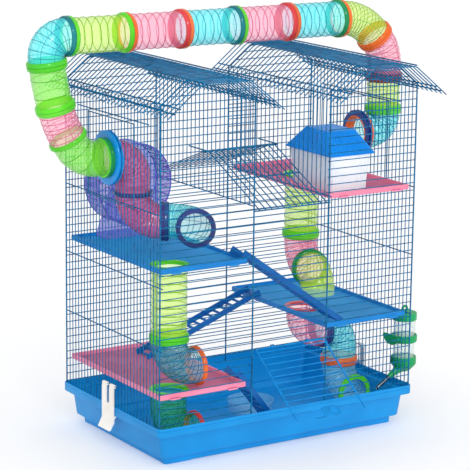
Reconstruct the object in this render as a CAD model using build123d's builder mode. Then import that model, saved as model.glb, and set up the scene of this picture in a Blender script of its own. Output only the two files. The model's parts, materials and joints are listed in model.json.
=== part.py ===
from build123d import *
from math import cos, pi, radians, sin, sqrt, tan
import os

os.makedirs("parts", exist_ok=True)

# Hamster cage: a wire house with two towers on a deep plastic tray, with shelves, ladders,
# a wheel, a nest house, a water bottle and a run of plastic tubes inside and over the roof.
# Origin: centre of the footprint, on the floor. +X right, -Y to the front, +Z up.
# Drawn wire is given four flats and the tubes eight, so that the long grilles stay light.

# ---------------------------------------------------------------- driving dimensions
# Wire house
tower_w = 159.8          # one tower, wire plane to wire plane
house_w = 456.0          # whole wire house along X
house_d = 279.5          # front wire plane to back wire plane
wire_t = 1.5             # infill wire
stiff_t = 1.9            # stiffening wire
post_r = 1.4             # upright corner wire
weld_gap = 0.05          # crossing wires lie this far apart
level_first = 66.5       # height of the lowest horizontal wire
level_pitch = 11.9       # spacing of the horizontal wires
level_count = 41         # horizontal wires in a tower wall
side_pitch = 9.46        # spacing of the upright wires in the outer side walls
side_count = 29
inner_pitch = 11.8       # spacing of the upright wires in the inner tower walls
inner_count = 23
door_level = 8           # the front door hangs on this horizontal wire
middle_level = 27        # highest horizontal wire between the towers
inner_level = 26.5       # the inner tower walls start here
stiff_levels = (9.5, 17.5, 26.5, 39.5)

# Tray
rim_w, rim_d = 465.0, 298.8
rim_z = 64.0
lip_h = 14.0
lip_inset = 10.0         # the tray wall stands this far inside the rim
ledge_drop = 9.8         # the wires stand on a ledge this far below the rim
tray_wall = 2.5
lip_wall = 1.9
tray_draft = 11.0        # degrees
plinth_h = 12.0
plinth_inset = 9.0
foot_h = 3.0
corner_r = 9.0
recess_r = 6.5

# Roofs
roof_z = 578.0           # tower roof flat
flat_share = 0.5         # the flat is this share of the tower width
eave_side, eave_front, eave_back = 19.0, 50.0, 34.0
eave_z = 531.0
roof_pitch = 11.4
rake_t = 2.4
ridge_z = 442.0          # middle roof
middle_eave = 6.0
middle_pitch = 11.0
middle_count = 12
stay_l = 47.0

# Tubes
tube_r = 27.0
tube_wall = 1.5
tube_sides = 8
collar_t = 3.0
collar_w = 14.0
fit_gap = 0.15
joint_gap = 0.1          # half the space left between two tubes inside a collar
lead = 7.0               # straight end of a bent tube
ring_z = 444.0           # axis of the two wall rings
ring_y = 10.0
left_flange_r, right_flange_r = 41.0, 36.0
socket_out = 12.0        # the wall ring reaches this far outside the wires
riser_x = 278.0          # axis of the outside tube that climbs at the right

# Side doors
side_door_w, side_door_h = 138.0, 128.0
side_door_z = 379.0
side_door_frame = 2.0

# Front door
door_w, door_l = 127.0, 145.0
door_open = 54.0         # degrees open in the rest pose
door_rail_r = 1.3
door_drop = 2.2          # the door hangs this far in front of its hinge wire

# Shelves
shelf_floor, shelf_rim_h, shelf_rim_t = 2.5, 8.0, 3.0
shelf_w = 150.0
shelf_end = 4.5          # clearance to the front and back wires
tab_w = 16.0

# Ladders
ladder_w, ladder_t = 36.0, 3.0
ladder_rail_t, ladder_rail_h = 3.0, 9.0
ladder_hook = 3.0
rung_pitch, rung_w = 13.0, 7.5
seat_gap = 0.3

# ---------------------------------------------------------------- derived places
half_w, half_d = house_w / 2, house_d / 2
tower_x = half_w - tower_w / 2
inner_x = half_w - tower_w
stiff_in = (wire_t + stiff_t) / 2 + weld_gap
post_x = half_w - stiff_in + stiff_t / 2 + post_r + weld_gap
inner_post_x = 2 * tower_x - post_x
post_y = half_d + wire_t / 2 + post_r + weld_gap
stiff_half = post_y + post_r + 2
foot_z = rim_z - ledge_drop + 0.2
flat_half = tower_w * flat_share / 2
tip_x = tower_w / 2 + eave_side
roof_slope = (roof_z - eave_z) / (tip_x - flat_half)
roof_lean = sqrt(1 + roof_slope**2)
post_out = post_x + post_r - tower_x
wall_top = roof_z - roof_slope * (post_out - flat_half) - wire_t / 2 * roof_lean - 0.1
bore_r = tube_r + fit_gap
collar_out = bore_r + collar_t
sill_z = level_first + inner_level * level_pitch + stiff_t


def level(number):
    """Height of a horizontal wire, counted from the lowest one."""
    return level_first + number * level_pitch


def roof_height(x):
    """Height of the tower roof's wires at x, measured from the tower's middle."""
    return roof_z - roof_slope * max(0, abs(x) - flat_half)


def wires_along_x(places, x_low, x_high, side):
    """Square wires along X at the given (y, z) places, added to the open part."""
    with BuildSketch(Plane.YZ.offset(x_low)) as ends:
        with Locations(*places):
            Rectangle(side, side)
    extrude(ends.sketch, amount=x_high - x_low)


def wires_along_y(places, y_low, y_high, side):
    """Square wires along Y at the given (x, z) places, added to the open part."""
    with BuildSketch(Plane.XZ.offset(-y_low)) as ends:
        with Locations(*places):
            Rectangle(side, side)
    extrude(ends.sketch, amount=y_low - y_high)


def wires_along_z(places, z_low, z_high, side):
    """Square wires along Z at the given (x, y) places, added to the open part."""
    with BuildSketch(Plane.XY.offset(z_low)) as ends:
        with Locations(*places):
            Rectangle(side, side)
    extrude(ends.sketch, amount=z_high - z_low)


# ---------------------------------------------------------------- tray
with BuildPart() as tray:
    with BuildSketch(Plane.XY.offset(rim_z)):
        RectangleRounded(rim_w, rim_d, corner_r)
    extrude(amount=-lip_h)
    with BuildSketch(Plane.XY.offset(rim_z - lip_h)) as wall_top_outline:
        Rectangle(rim_w - 2 * lip_inset, rim_d - 2 * lip_inset)
        chamfer(wall_top_outline.vertices(), corner_r)
    extrude(amount=-(rim_z - lip_h - plinth_h), taper=tray_draft)
    body_drop = (rim_z - lip_h - plinth_h) * tan(radians(tray_draft))
    body_w = rim_w - 2 * (lip_inset + body_drop)
    body_d = rim_d - 2 * (lip_inset + body_drop)
    with BuildSketch(Plane.XY.offset(foot_h)):
        Rectangle(body_w - 2 * plinth_inset, body_d - 2 * plinth_inset)
    extrude(amount=plinth_h - foot_h)
    with BuildSketch(Plane.XY):
        with GridLocations(body_w - 110, body_d - 46, 2, 2):
            Rectangle(40, 12)
    extrude(amount=foot_h)
    # Hollow from above: rim recess down to the ledge, then the bin, then the sunken floor
    with BuildSketch(Plane.XY.offset(rim_z)):
        RectangleRounded(rim_w - 2 * lip_wall, rim_d - 2 * lip_wall, recess_r)
    extrude(amount=-ledge_drop, mode=Mode.SUBTRACT)
    bin_inset = lip_inset + tray_wall
    with BuildSketch(Plane.XY.offset(rim_z - ledge_drop)) as bin_outline:
        Rectangle(rim_w - 2 * bin_inset, rim_d - 2 * bin_inset)
        chamfer(bin_outline.vertices(), corner_r)
    bin_depth = rim_z - ledge_drop - plinth_h - tray_wall
    extrude(amount=-bin_depth, taper=tray_draft, mode=Mode.SUBTRACT)
    floor_z = foot_h + tray_wall
    sunk = 2 * (plinth_inset + tray_wall)
    with BuildSketch(Plane.XY.offset(floor_z)):
        Rectangle(body_w - sunk, body_d - sunk)
    extrude(amount=plinth_h + tray_wall - floor_z, mode=Mode.SUBTRACT)
tray.part.label = "tray"
export_step(tray.part, "parts/tray.step")

# ---------------------------------------------------------------- posts and walls
corners = [(x, y) for x in (-post_x, -inner_post_x, inner_post_x, post_x) for y in (-post_y, post_y)]
with BuildPart() as posts:
    with BuildSketch(Plane.XY.offset(foot_z)):
        with Locations(*corners):
            RegularPolygon(post_r, 6)
    extrude(amount=wall_top - foot_z)
posts.part.label = "upright_posts"
export_step(posts.part, "parts/upright_posts.step")

wire_end = post_x + post_r
tower_low = inner_post_x - post_r

for name, wall_y, low_gap in (("front_wall", -half_d, door_level), ("back_wall", half_d, 0)):
    with BuildPart() as wall:
        full = [(wall_y, level(k)) for k in range(low_gap, middle_level + 1)]
        wires_along_x(full, -wire_end, wire_end, wire_t)
        split = [(wall_y, level(k)) for k in range(low_gap)]
        split += [(wall_y, level(k)) for k in range(middle_level + 1, level_count)]
        wires_along_x(split, -wire_end, -tower_low, wire_t)
        wires_along_x(split, tower_low, wire_end, wire_t)
    wall.part.label = name
    export_step(wall.part, f"parts/{name}.step")

side_ys = [(k - (side_count - 1) / 2) * side_pitch for k in range(side_count)]
door_top = side_door_z + side_door_h
cut_half = side_door_w / 2
for name, side in (("left_wall", -1), ("right_wall", 1)):
    with BuildPart() as wall:
        whole = [(side * half_w, y) for y in side_ys if abs(y) > cut_half]
        cut = [(side * half_w, y) for y in side_ys if abs(y) < cut_half]
        wires_along_z(whole, foot_z, wall_top, wire_t)
        wires_along_z(cut, foot_z, sill_z, wire_t)
        wires_along_z(cut, door_top + 0.5, wall_top, wire_t)
        stiff_x = side * (half_w - stiff_in)
        wires_along_y([(stiff_x, level(n)) for n in stiff_levels], -stiff_half, stiff_half, stiff_t)
        wires_along_y([(stiff_x, door_top + 3)], -105, 105, stiff_t)
    wall.part.label = name
    export_step(wall.part, f"parts/{name}.step")

inner_ys = [(k - (inner_count - 1) / 2) * inner_pitch for k in range(inner_count)]
with BuildPart() as inner_walls:
    uprights = [(x, y) for x in (-inner_x, inner_x) for y in inner_ys]
    wires_along_z(uprights, level(inner_level) - stiff_t, wall_top, wire_t)
    foot_x = inner_x + stiff_in
    bottoms = [(-foot_x, level(inner_level)), (foot_x, level(inner_level))]
    wires_along_y(bottoms, -stiff_half, stiff_half, stiff_t)
inner_walls.part.label = "inner_walls"
export_step(inner_walls.part, "parts/inner_walls.step")

# ---------------------------------------------------------------- tower roofs
def roof_band(middle, reach, drop, thick):
    """Outline of a wire bent to the tower roof's shape, lying drop below the roof wires."""
    outline = []
    for way in (1, -1):
        rise = way * thick / 2 - drop
        knee = flat_half + rise * (roof_lean - 1) / roof_slope
        end = roof_height(reach) + rise * roof_lean
        line = [(-reach, end), (-knee, roof_z + rise), (knee, roof_z + rise), (reach, end)]
        outline += line[::way]
    return [(middle + x, z) for x, z in outline]


roof_low, roof_high = -post_y - eave_front, post_y + eave_back
roof_count = int((roof_high - roof_low) / roof_pitch)
roof_ys = [roof_low + wire_t + k * roof_pitch for k in range(roof_count + 1)]
top_cross_x = tower_w / 2 - stiff_in
under_roof = wire_t / 2 * roof_lean + stiff_t / 2 * (1 + roof_slope) + weld_gap
for name, side in (("left_roof", -1), ("right_roof", 1)):
    middle = side * tower_x
    with BuildPart() as roof:
        with BuildSketch(*[Plane.XZ.offset(-y) for y in roof_ys]):
            with BuildLine():
                Polyline(*roof_band(middle, tip_x, 0, wire_t), close=True)
            make_face()
        extrude(amount=wire_t / 2, both=True)
        for x in (-top_cross_x, top_cross_x, 12 - tip_x, tip_x - 12):
            place = [(middle + x, roof_height(x) - under_roof)]
            wires_along_y(place, roof_low, roof_high, stiff_t)
        edges = [(middle + x, roof_z + stiff_in) for x in (-flat_half, flat_half)]
        wires_along_y(edges, roof_low, roof_high, stiff_t)
    roof.part.label = name
    export_step(roof.part, f"parts/{name}.step")

# The towers' gable ends: a heavy bent rake wire and two short horizontal wires in each
rake_drop = (wire_t + rake_t) / 2 + weld_gap
rake_half = top_cross_x - stiff_t / 2 - 0.3
with BuildPart() as gables:
    for middle in (-tower_x, tower_x):
        with BuildSketch(Plane.XZ.offset(-post_y), Plane.XZ.offset(post_y)):
            with BuildLine():
                Polyline(*roof_band(middle, rake_half, rake_drop, rake_t), close=True)
            make_face()
        extrude(amount=rake_t / 2, both=True)
        for k in (level_count, level_count + 1):
            reach = flat_half + (roof_z - level(k) - rake_drop * roof_lean) / roof_slope
            gable_y = post_y - (rake_t + wire_t) / 2 - weld_gap
            places = [(-gable_y, level(k)), (gable_y, level(k))]
            wires_along_x(places, middle - reach, middle + reach, wire_t)
gables.part.label = "roof_gables"
export_step(gables.part, "parts/roof_gables.step")

# ---------------------------------------------------------------- middle roof
# Its wires bend over the ridge and rest on the front wall's and the back wall's top wires
roof_rest = 1.4 * wire_t + weld_gap
front_slope = (ridge_z - level(middle_level - 1) - roof_rest) / half_d
back_slope = (ridge_z - level(middle_level) - roof_rest) / half_d
front_lean = sqrt(1 + front_slope**2)
back_lean = sqrt(1 + back_slope**2)
eave_y = -(post_y + post_r + stiff_t / 2 + weld_gap)
front_end, back_end = half_d + middle_eave, half_d + 2


def under_front(y):
    """Height of a stiffening wire laid under the front slope at y."""
    middle = ridge_z + front_slope * y - wire_t / 2 * front_lean
    return middle - stiff_t / 2 * (1 + front_slope) - weld_gap


with BuildPart() as middle_roof:
    middle_xs = [(k - (middle_count - 1) / 2) * middle_pitch for k in range(middle_count)]
    up = wire_t / 2
    with BuildSketch(*[Plane.YZ.offset(x) for x in middle_xs]):
        with BuildLine():
            Polyline(
                (-front_end, ridge_z - front_slope * front_end + up * front_lean),
                (0, ridge_z + up),
                (back_end, ridge_z - back_slope * back_end + up * back_lean),
                (back_end, ridge_z - back_slope * back_end - up * back_lean),
                (0, ridge_z - up * front_lean),
                (-front_end, ridge_z - front_slope * front_end - up * front_lean),
                close=True,
            )
        make_face()
    extrude(amount=wire_t / 2, both=True)
    ridge_reach = inner_x - wire_t / 2 - weld_gap
    wires_along_x([(eave_y, under_front(eave_y))], -inner_x, inner_x, stiff_t)
    wires_along_x([(-half_d / 2, under_front(-half_d / 2))], -62, 62, stiff_t)
    wires_along_x([(0, under_front(0))], -ridge_reach, ridge_reach, stiff_t)
    stay_z = under_front(0) + stiff_t + weld_gap
    wires_along_y([(3 - ridge_reach, stay_z), (ridge_reach - 3, stay_z)], -4, stay_l, stiff_t)
middle_roof.part.label = "middle_roof"
export_step(middle_roof.part, "parts/middle_roof.step")

# ---------------------------------------------------------------- side doors and wall rings
frame_x = half_w + (wire_t + side_door_frame) / 2 + weld_gap
sleeve_r = collar_out
for name, side, flange_r in (("left", -1, left_flange_r), ("right", 1, right_flange_r)):
    with BuildPart() as door:
        stile_y = (side_door_w - side_door_frame) / 2
        stiles = [(side * frame_x, -stile_y), (side * frame_x, stile_y)]
        wires_along_z(stiles, side_door_z, door_top, side_door_frame)
        rail_inset = side_door_frame / 2
        rail_zs = (side_door_z + rail_inset, door_top - rail_inset)
        rail_reach = stile_y - rail_inset - weld_gap
        rails = [(side * frame_x, z) for z in rail_zs]
        wires_along_y(rails, -rail_reach, rail_reach, side_door_frame)
        low, high = sill_z + 0.4, door_top - 1
        bars = [(side * half_w, y) for y in side_ys if abs(y) < cut_half]
        clear = sleeve_r + 0.4 + wire_t / 2
        free = [bar for bar in bars if abs(bar[1] - ring_y) > clear]
        wires_along_z(free, low, high, wire_t)
        for bar in bars:
            if bar not in free:
                chord = sqrt(clear**2 - (bar[1] - ring_y) ** 2)
                wires_along_z([bar], low, ring_z - chord, wire_t)
                wires_along_z([bar], ring_z + chord, high, wire_t)
    door.part.label = f"{name}_side_door"
    export_step(door.part, f"parts/{name}_side_door.step")

    with BuildPart() as ring:
        flange_in = half_w + wire_t / 2 + 0.2
        with BuildSketch(Plane.YZ.offset(side * flange_in)):
            with Locations((ring_y, ring_z)):
                RegularPolygon(flange_r, 16)
        extrude(amount=side * 4)
        with BuildSketch(Plane.YZ.offset(side * (half_w - wire_t / 2 - 0.2))):
            with Locations((ring_y, ring_z)):
                RegularPolygon(flange_r, 16)
        extrude(amount=-side * 3)
        with BuildSketch(Plane.YZ.offset(side * (half_w - wire_t / 2 - 3.2))):
            with Locations((ring_y, ring_z)):
                RegularPolygon(sleeve_r, tube_sides * 2)
        extrude(amount=side * (socket_out + wire_t / 2 + 3.2))
        with BuildSketch(Plane.YZ.offset(side * (half_w - 10))):
            with Locations((ring_y, ring_z)):
                RegularPolygon(bore_r, tube_sides)
        extrude(amount=side * 30, mode=Mode.SUBTRACT)
    ring.part.label = f"{name}_wall_ring"
    export_step(ring.part, f"parts/{name}_wall_ring.step")

# ---------------------------------------------------------------- front door
# Hangs on a horizontal wire and stands open at rest; drawn in its own plane, hinge at the top
swing = radians(door_open)
door_plane = Plane(
    origin=(0, -half_d, level(door_level)), x_dir=(1, 0, 0), z_dir=(0, -cos(swing), sin(swing))
)
eye_bore = wire_t / 2 * sqrt(2) + 0.06
eye_r = eye_bore + 1.5
rail_top = eye_r - 0.5
bar_out = door_drop + door_rail_r + wire_t / 2 + weld_gap
with BuildPart() as front_door:
    with BuildSketch(door_plane.offset(door_drop)):
        with Locations((0, -(rail_top + door_l) / 2)):
            rail = 2 * door_rail_r
            Rectangle(door_w, door_l - rail_top)
            Rectangle(door_w - 2 * rail, door_l - rail_top - 2 * rail, mode=Mode.SUBTRACT)
    extrude(amount=door_rail_r, both=True)
    for x in (-door_w / 4, door_w / 4):
        with BuildSketch(Plane.YZ.offset(x)):
            with Locations((-half_d, level(door_level))):
                RegularPolygon(eye_r, 10)
        extrude(amount=1.5, both=True)
    with BuildSketch(Plane.YZ):
        with Locations((-half_d, level(door_level))):
            RegularPolygon(eye_bore, 10, major_radius=False)
    extrude(amount=door_w / 2, both=True, mode=Mode.SUBTRACT)
    bar_ys = [-k * level_pitch for k in range(1, 12)]
    with BuildSketch(door_plane.offset(bar_out)):
        with Locations(*[(0, y) for y in bar_ys]):
            Rectangle(door_w, wire_t)
    extrude(amount=wire_t / 2, both=True)
front_door.part.label = "front_door"
export_step(front_door.part, "parts/front_door.step")

latch_t = 1.6
with BuildPart() as latch:
    with BuildSketch(door_plane.offset(bar_out + wire_t / 2 + weld_gap)):
        with Locations((0, -door_l + 7)):
            Rectangle(30, 20)
    extrude(amount=latch_t)
latch.part.label = "front_door_latch"
export_step(latch.part, "parts/front_door_latch.step")

# ---------------------------------------------------------------- tray clips
clip_w, clip_t = 34.0, 2.5
clip_axis_x = half_w + 4.5
clip_axis_z = 96.25
clip_wire_r = 1.0
clip_bore = clip_wire_r + 0.06
knuckle_r = 2.8
slot_w, slot_z = 9.5, 68.0
clip_foot_z = 28.0
clip_in = rim_w / 2 + 0.9
hook_top = rim_z - lip_h - 0.6
leg_y = 2 * side_pitch
with BuildPart() as clip_wires:
    for side in (-1, 1):
        with BuildSketch(Plane.XZ):
            with Locations((side * clip_axis_x, clip_axis_z)):
                RegularPolygon(clip_wire_r, 6)
        extrude(amount=leg_y + clip_wire_r, both=True)
        leg_in = half_w + wire_t / 2 + weld_gap
        with BuildSketch(Plane.YZ.offset(side * leg_in)):
            with Locations((-leg_y, clip_axis_z), (leg_y, clip_axis_z)):
                Rectangle(1.6, 1.6)
        extrude(amount=side * (clip_axis_x - leg_in))
clip_wires.part.label = "clip_wires"
export_step(clip_wires.part, "parts/clip_wires.step")

for name, side in (("left_clip", -1), ("right_clip", 1)):
    with BuildPart() as clip:
        with BuildSketch(Plane.XZ):
            with BuildLine():
                outline = [
                    (clip_axis_x, clip_axis_z + knuckle_r),
                    (clip_in + clip_t - 1, clip_axis_z + 1),
                    (clip_in + clip_t, clip_axis_z - 6),
                    (clip_in + clip_t, clip_foot_z + 14),
                    (clip_in + clip_t + 7, clip_foot_z),
                    (clip_in + clip_t + 4, clip_foot_z),
                    (clip_in, clip_foot_z + 11),
                    (clip_in, hook_top - 5),
                    (rim_w / 2 - 2, hook_top - 1.5),
                    (rim_w / 2 - 3, hook_top),
                    (clip_in, hook_top),
                    (clip_in, clip_axis_z - knuckle_r),
                    (clip_axis_x - 0.5, clip_axis_z - knuckle_r),
                ]
                Polyline(*[(side * x, z) for x, z in outline], close=True)
            make_face()
            with Locations((side * clip_axis_x, clip_axis_z)):
                RegularPolygon(knuckle_r, 10)
                RegularPolygon(clip_bore, 10, major_radius=False, mode=Mode.SUBTRACT)
        extrude(amount=clip_w / 2, both=True)
        with BuildSketch(Plane.YZ.offset(side * (clip_axis_x - 5))):
            with Locations((0, slot_z)):
                Rectangle(slot_w, 40, align=(Align.CENTER, Align.MIN))
        extrude(amount=side * 12, mode=Mode.SUBTRACT)
    clip.part.label = name
    export_step(clip.part, f"parts/{name}.step")

# ---------------------------------------------------------------- shelves
# Each lies on the horizontal wires with four tabs; one hole takes a tube's collar
shelf_y = half_d - shelf_end
shelf_rows = (
    ("upper_left_shelf", -1, 19, (-187, -99)),
    ("lower_left_shelf", -1, 3, (-187, -99)),
    ("middle_right_shelf", 1, 9, (110, -18)),
    ("upper_right_shelf", 1, 26, (140, 36)),
)


def shelf_base(wire_number):
    """Underside of a shelf that lies on the given horizontal wire."""
    return level(wire_number) + wire_t / 2 + 0.2


outer_edge = half_w - wire_t - stiff_t - 1
inner_edge = outer_edge - shelf_w
for name, side, wire_number, hole in shelf_rows:
    base = shelf_base(wire_number)
    middle = side * (outer_edge + inner_edge) / 2
    with BuildPart() as shelf:
        with BuildSketch(Plane.XY.offset(base)):
            with Locations((middle, 0)):
                Rectangle(shelf_w, 2 * shelf_y)
        extrude(amount=shelf_rim_h)
        with BuildSketch(Plane.XY.offset(base + shelf_floor)):
            with Locations((middle, 0)):
                Rectangle(shelf_w - 2 * shelf_rim_t, 2 * (shelf_y - shelf_rim_t))
        extrude(amount=shelf_rim_h, mode=Mode.SUBTRACT)
        with BuildSketch(Plane.XY.offset(base)):
            for x in (middle - shelf_w / 3, middle + shelf_w / 3):
                with Locations((x, 0)):
                    Rectangle(tab_w, house_d + wire_t - 0.2)
            with Locations((middle, 0)):
                Rectangle(shelf_w, 2 * shelf_y, mode=Mode.SUBTRACT)
        extrude(amount=shelf_floor)
        with BuildSketch(Plane.XY.offset(base)):
            with Locations(hole):
                RegularPolygon(collar_out + 0.2, tube_sides)
        extrude(amount=shelf_floor, mode=Mode.SUBTRACT)
    shelf.part.label = name
    export_step(shelf.part, f"parts/{name}.step")

# ---------------------------------------------------------------- ladders
# Each hooks over a shelf's rim and its foot rests on the floor below
floor_z = foot_h + tray_wall
shelf_top = shelf_floor + seat_gap
ladder_rows = (
    ("upper_ladder", -inner_edge, shelf_base(19), 103, shelf_base(9) + shelf_top, -113),
    ("middle_ladder", inner_edge, shelf_base(9), -130, shelf_base(3) + shelf_top, 75),
    ("lower_ladder", -inner_edge, shelf_base(3), 10, floor_z + seat_gap, -100),
)
for name, edge_x, edge_base, foot_x, foot_level, ladder_y in ladder_rows:
    way = 1 if foot_x > edge_x else -1
    rim_top = edge_base + shelf_rim_h + seat_gap
    run, fall = abs(foot_x - edge_x), rim_top - foot_level
    length = sqrt(run**2 + fall**2)
    slope_plane = Plane(
        origin=(edge_x, ladder_y, rim_top),
        x_dir=(way * run, 0, -fall),
        z_dir=(way * fall, 0, run),
    )
    hook = -(shelf_rim_t * length / run + 1)
    with BuildPart() as ladder:
        with BuildSketch(slope_plane):
            with Locations((hook - 2, 0)):
                Rectangle(length - hook + 2, ladder_w, align=(Align.MIN, Align.CENTER))
        extrude(amount=ladder_t)
        with BuildSketch(slope_plane):
            with Locations((hook - 2, 0)):
                Rectangle(2, ladder_w, align=(Align.MIN, Align.CENTER))
        extrude(amount=-ladder_hook)
        with BuildSketch(slope_plane.offset(ladder_t)):
            for y in (-1, 1):
                with Locations((hook - 2, y * (ladder_w - ladder_rail_t) / 2)):
                    rail_l = length - hook + 2
                    Rectangle(rail_l, ladder_rail_t, align=(Align.MIN, Align.CENTER))
        extrude(amount=ladder_rail_h - ladder_t)
        slot_count = int(length / rung_pitch)
        with BuildSketch(slope_plane):
            with Locations(*[((k + 0.5) * rung_pitch, 0) for k in range(slot_count)]):
                Rectangle(rung_pitch - rung_w, ladder_w - 2 * ladder_rail_t)
        extrude(amount=ladder_t, mode=Mode.SUBTRACT)
    ladder.part.label = name
    export_step(ladder.part, f"parts/{name}.step")

# ---------------------------------------------------------------- nest house
# An open box that narrows to its foot, with a doorway and round windows, under a lift-off roof
house_x, house_y = 124.5, -61.5
house_foot_w, house_foot_l = 65.0, 103.0
house_t, house_h = 2.0, 57.0
house_flare = 5.0        # degrees that the walls lean outwards
house_top_w = house_foot_w + 2 * house_h * tan(radians(house_flare))
house_top_l = house_foot_l + 2 * house_h * tan(radians(house_flare))
house_z = shelf_base(26) + shelf_floor + 0.05
doorway_w, doorway_h = 38.0, 45.0
window_r, window_rise = 7.0, 36.0
eave_over = 5.0
nest_roof_h = 34.0
ridge_w, ridge_l = 50.0, 60.0
nest_lip_t = 0.8
nest_fit = 0.3


def leaning_box(low, high, foot, top):
    """Four-sided box round the nest house's middle, from its size at the foot to that at the top."""
    with BuildPart() as box:
        for plane, middle, k, way in (
            (Plane.XZ.offset(-house_y), house_x, 0, Mode.ADD),
            (Plane.YZ.offset(house_x), house_y, 1, Mode.INTERSECT),
        ):
            with BuildSketch(plane) as side:
                with BuildLine():
                    Polyline(
                        (middle - foot[k] / 2, low),
                        (middle + foot[k] / 2, low),
                        (middle + top[k] / 2, high),
                        (middle - top[k] / 2, high),
                        close=True,
                    )
                make_face()
            extrude(side.sketch, amount=max(*foot, *top), both=True, mode=way)
    return box.part


def narrowed(size, amount):
    """A length and width less the given amount on each side."""
    return size[0] - 2 * amount, size[1] - 2 * amount


house_foot, house_top = (house_foot_w, house_foot_l), (house_top_w, house_top_l)
with BuildPart() as house_body:
    for inset, way in ((0, Mode.ADD), (house_t, Mode.SUBTRACT)):
        foot, top = narrowed(house_foot, inset), narrowed(house_top, inset)
        add(leaning_box(house_z, house_z + house_h, foot, top), mode=way)
    with BuildSketch(Plane.YZ.offset(house_x)):
        with Locations((house_y, house_z)):
            Rectangle(doorway_w, doorway_h - doorway_w / 2, align=(Align.CENTER, Align.MIN))
        with Locations((house_y, house_z + doorway_h - doorway_w / 2)):
            RegularPolygon(doorway_w / 2, 16)
    extrude(amount=house_top_w, mode=Mode.SUBTRACT)
    with BuildSketch(Plane.XZ.offset(-house_y)):
        with Locations(*[(house_x + x, house_z + window_rise) for x in (-15, 15)]):
            RegularPolygon(window_r, 12)
    extrude(amount=house_top_l, mode=Mode.SUBTRACT)
house_body.part.label = "house_body"
export_step(house_body.part, "parts/house_body.step")

nest_top = house_z + house_h + nest_fit
eave, ridge = narrowed(house_top, -eave_over), (ridge_w, ridge_l)
with BuildPart() as house_roof:
    for inset, way in ((0, Mode.ADD), (house_t, Mode.SUBTRACT)):
        peak = nest_top + nest_roof_h - inset
        foot, top = narrowed(eave, inset), narrowed(ridge, inset)
        add(leaning_box(nest_top, peak, foot, top), mode=way)
    with BuildSketch(Plane.XY.offset(nest_top)) as lip:
        with Locations((house_x, house_y)):
            Rectangle(*narrowed(eave, 1))
            Rectangle(*narrowed(house_top, house_t + 1), mode=Mode.SUBTRACT)
    extrude(lip.sketch, amount=nest_lip_t)
house_roof.part.label = "house_roof"
export_step(house_roof.part, "parts/house_roof.step")

# ---------------------------------------------------------------- wheel
wheel_x, wheel_z, wheel_r = -140.5, 382.0, 65.0
wheel_low, wheel_high = 80.0, 126.0
wheel_t = 2.0
wheel_sides = 24
axle_r, axle_fit = 3.0, 0.05
tread_h = 2.5
wheel_plane = Plane(origin=(wheel_x, wheel_low, wheel_z), x_dir=(1, 0, 0), z_dir=(0, 1, 0))
with BuildPart() as wheel:
    with BuildSketch(wheel_plane):
        RegularPolygon(wheel_r, wheel_sides)
        RegularPolygon(wheel_r - wheel_t, wheel_sides, mode=Mode.SUBTRACT)
    extrude(amount=wheel_high - wheel_low)
    with BuildSketch(wheel_plane.offset(wheel_high - wheel_low - wheel_t)):
        RegularPolygon(wheel_r - wheel_t / 2, wheel_sides)
        RegularPolygon(10, 12, mode=Mode.SUBTRACT)
        with PolarLocations(38, 6):
            RegularPolygon(11, 8, mode=Mode.SUBTRACT)
    extrude(amount=wheel_t)
    with BuildSketch(wheel_plane.offset(wheel_high - wheel_low - 14)):
        RegularPolygon(11, 12)
        Circle(axle_r + axle_fit, mode=Mode.SUBTRACT)
    extrude(amount=14)
    with BuildSketch(wheel_plane):
        with PolarLocations(wheel_r - wheel_t - tread_h / 2, 14, start_angle=180 / wheel_sides):
            Rectangle(tread_h + 1.5, 2.5)
    extrude(amount=wheel_high - wheel_low - wheel_t)
wheel.part.label = "wheel"
export_step(wheel.part, "parts/wheel.step")

stand_y, stand_t = wheel_high + 2, 3.0
shelf19 = shelf_base(19) + shelf_floor + 0.05
with BuildPart() as wheel_stand:
    with BuildSketch(Plane.XZ.offset(-stand_y)):
        with BuildLine():
            Polyline(
                (wheel_x - 42, shelf19),
                (wheel_x + 42, shelf19),
                (wheel_x + 42, shelf19 + 5),
                (wheel_x + 9, wheel_z + 6),
                (wheel_x, wheel_z + 11),
                (wheel_x - 9, wheel_z + 6),
                (wheel_x - 42, shelf19 + 5),
                close=True,
            )
        make_face()
    extrude(amount=-stand_t)
    with BuildSketch(Plane.XZ.offset(-stand_y)):
        with Locations((wheel_x, shelf19)):
            Rectangle(84, 3, align=(Align.CENTER, Align.MIN))
    extrude(amount=30)
    with BuildSketch(Plane.XZ.offset(-stand_y)):
        with Locations((wheel_x, wheel_z)):
            Circle(axle_r)
    extrude(amount=18)
    with BuildSketch(Plane.XZ.offset(-stand_y)):
        with Locations((wheel_x, wheel_z)):
            RegularPolygon(7, 12)
    extrude(amount=1.8)
wheel_stand.part.label = "wheel_stand"
export_step(wheel_stand.part, "parts/wheel_stand.step")

# ---------------------------------------------------------------- water bottle
bottle_x = 250.5
bottle_y = -10.5 * side_pitch
bottle_r, bottle_t = 18.0, 1.5
bottle_low, bottle_high = 95.0, 166.0
bottle_fit = 0.2
bottle_sides = 12
cap_r, cap_low = 20.5, 80.0
cap_step = 4.0           # below its rim the cap steps in twice
clasp_low, clasp_high = 118.0, 136.0
spout_r = 3.4
flat = cos(pi / bottle_sides)
with BuildPart() as bottle:
    with BuildSketch(Plane.XY.offset(bottle_low)):
        with Locations((bottle_x, bottle_y)):
            RegularPolygon(bottle_r, bottle_sides)
    extrude(amount=bottle_high - bottle_low)
    with BuildSketch(Plane.XY.offset(bottle_low)):
        with Locations((bottle_x, bottle_y)):
            RegularPolygon(bottle_r - bottle_t, bottle_sides)
    extrude(amount=bottle_high - bottle_low - bottle_t, mode=Mode.SUBTRACT)
bottle.part.label = "bottle"
export_step(bottle.part, "parts/bottle.step")

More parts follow.
